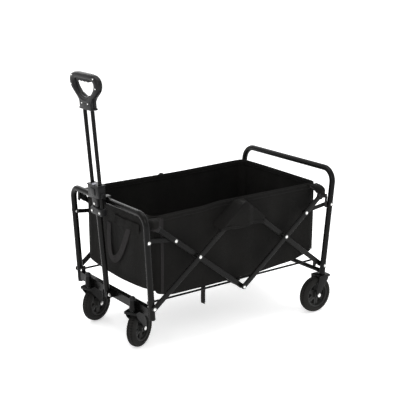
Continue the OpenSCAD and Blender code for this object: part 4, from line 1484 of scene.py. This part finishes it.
def makeGrip():
    low, high = handleSpan("grip_rear_shell")
    placed(painted(gripShell("gripRear", 1, low, high), "grip_plastic"), "slider", "grip_plastic",
           "grip_rear_shell")
    placed(painted(gripShell("gripFront", -1, low, high), "grip_plastic"), "slider", "grip_plastic",
           "grip_front_shell")
    top = high.y - 0.0215
    wave = []
    steps = 60
    for i in range(steps + 1):
        t = i / steps
        dip = 0.0030 * abs(math.sin(math.pi * gripLook["waves"] * t)) ** 0.7
        wave.append((mix(-0.046, 0.046, t), top - 0.0055 - dip))
    outline = [(0.048, top + 0.0045), (-0.048, top + 0.0045)] + wave
    pad = plate("fingerPad", [outline], 0.0255, 0.0012, handlePlace, 3)
    placed(painted(pad, "insert_rubber"), "slider", "insert_rubber", "grip_insert")
    headOutline = [(0, 0.0016), (0.0022, 0.0014), (0.0030, 0.0006), (0.0032, 0), (0, -0.0012)]
    wellOutline = [(0.0, 0.0002), (0.0040, 0.0002), (0.0046, 0.0007), (0.0054, 0.0002), (0.0050, -0.003),
                   (0, -0.003)]
    head, well = unitShape("screwUnit", headOutline, 16), unitShape("wellUnit", wellOutline, 24)
    halfSpots = ((0.075, high.y - 0.0135), (0.0855, high.y - 0.047), (0.021, low.y + 0.024))
    spots = [(sign * x, y) for sign in (-1, 1) for x, y in halfSpots]
    front = -(high.z - 0.0005)
    depths = [front + 0.0012, front + 0.0010, front + 0.0012] * 2
    places = [handlePlace @ Vector((x, y, z)) for (x, y), z in zip(spots, depths)]
    aims = [-backAxis] * len(places)
    placed(repeated("gripWells", places, aims, well, "grip_plastic"), "slider", "grip_plastic")
    lifted = [p - backAxis * 0.0002 for p in places]
    placed(repeated("gripScrews", lifted, aims, head, "zinc"), "slider", "zinc", "grip_screws")
    for unit in (head, well):
        bpy.data.objects.remove(unit)


makeGrip()
print("stage: grip")


collarLook = {"half": 0.0385, "front": 0.0165, "back": 0.0155, "low": 0.392, "high": 0.442, "flange": 0.006,
              "round": 0.0035,
              "neckHalf": 0.019, "neckLow": 0.358, "button": (0.0165, 0.0125)}


def makeCollar():
    low, high = handleSpan("handle_collar")
    look = collarLook
    half, front, back = look["half"], -look["front"], look["back"]
    parts = [   # body, top flange, neck, side lug and front boss
        roundedBlock("body", (-half, look["low"], front),
                     (half, look["high"] - look["flange"] + 0.001, back), look["round"], None, 4),
        roundedBlock("flange", (-half - 0.0025, look["high"] - look["flange"], front - 0.0015),
                     (half + 0.0025, look["high"], back + 0.001), 0.0022, None, 4),
        roundedBlock("neck", (-look["neckHalf"], look["neckLow"], front + 0.0015),
                     (look["neckHalf"], look["low"] + 0.004, back - 0.001),
                     0.004, None, 4),
        roundedBlock("lug", (-half - 0.006, look["low"] + 0.001, -0.008),
                     (-half + 0.004, look["low"] + 0.019, 0.008), 0.004, None, 4),
        roundedBlock("boss", (-0.015, look["low"] + 0.010, front - 0.0035),
                     (0.015, look["high"] - 0.012, front + 0.003), 0.0028, None, 4),
    ]
    bar = handlePlace.inverted() @ Vector((span("front_frame")[0].x + 0.012, 0,
                                           span("front_frame")[1].z - 0.012))
    rise, reach = bar.y, bar.z
    parts.append(roundedBlock("pad", (-0.014, rise - 0.010, back - 0.003),
                              (0.014, rise + 0.010, reach - 0.0127),
                              0.002, None, 3))
    parts.append(roundedBlock("hook", (-0.014, rise + 0.0141, back - 0.003), (0.014, rise + 0.0195, high.z),
                              0.0022, None, 4))
    for x in (-0.0125, 0.0125):
        parts.append(roundedBlock("rib", (x - 0.0015, rise + 0.004, back - 0.003),
                                  (x + 0.0015, rise + 0.018, reach - 0.0127), 0.001))
    collar = joined("handleCollar", parts)
    collar.data.transform(handlePlace)
    placed(painted(tidy(collar, 0.000005), "grip_plastic"), "handle", "grip_plastic", "handle_collar")
    slot = plate("slot", [slotOutline((-0.0275, 0.405), (-0.0275, 0.426), 0.0042)], 0.0012, 0.0005,
                 Matrix.Translation((0, 0, front - 0.0002)))
    slot.data.transform(handlePlace)
    placed(painted(slot, "cap_plastic"), "handle", "cap_plastic")
    # the release button on the collar top; its light purple-grey finish is a painted highlight
    w, d = look["button"]
    button = roundedBlock("button", (-w / 2, look["high"] - 0.010, front + 0.001),
                          (w / 2, look["high"] + 0.0045, front + 0.001 + d),
                          0.0028, handlePlace, 5)
    placed(painted(button, "button_plastic"), "button", "button_plastic", "release_button")
    low, high = handleSpan("slider_block")
    block = roundedBlock("block", (low.x, low.y, low.z), (high.x, high.y, high.z), 0.0045, None, 5)
    ledge = roundedBlock("ledge", (-0.021, high.y - 0.006, low.z - 0.001),
                         (0.021, high.y + 0.0015, high.z + 0.001), 0.002, None, 4)
    saddle = joined("sliderBlock", [block, ledge])
    saddle.data.transform(handlePlace)
    placed(painted(tidy(saddle, 0.000005), "grip_plastic"), "slider", "grip_plastic", "slider_block")


def makeHandleBolts():
    domeOutline = [(0, 0.0032), (0.0022, 0.0029), (0.0038, 0.0019), (0.0047, 0.0004), (0.0047, -0.0004),
                   (0, -0.0006)]
    ringOutline = [(0, -0.0004), (0.0072, -0.0004), (0.0078, 0.0004), (0.0072, 0.0012), (0.005, 0.0013),
                   (0, 0.0013)]
    dome, ring = unitShape("boltDome", domeOutline, 20), unitShape("boltRing", ringOutline, 24)
    low, high = handleSpan("slider_block")
    middle = (low.y + high.y) / 2
    rows = {"slider": [(-0.027, middle, low.z), (0.027, middle, low.z)],
            "handle": [(0, collarLook["neckLow"] + 0.011, -collarLook["front"] + 0.0015)]}
    for body, seats in rows.items():
        places = [handlePlace @ Vector(p) for p in seats]
        aims = [-backAxis] * len(places)
        placed(repeated(body + "BoltRings", places, aims, ring, "washer"), body, "cap_plastic")
        lifted = [p - backAxis * 0.0012 for p in places]
        placed(repeated(body + "BoltDomes", lifted, aims, dome, "zinc"), body, "zinc")
    for unit in (dome, ring):
        bpy.data.objects.remove(unit)


makeCollar()
makeHandleBolts()
print("stage: collar, slider and button")
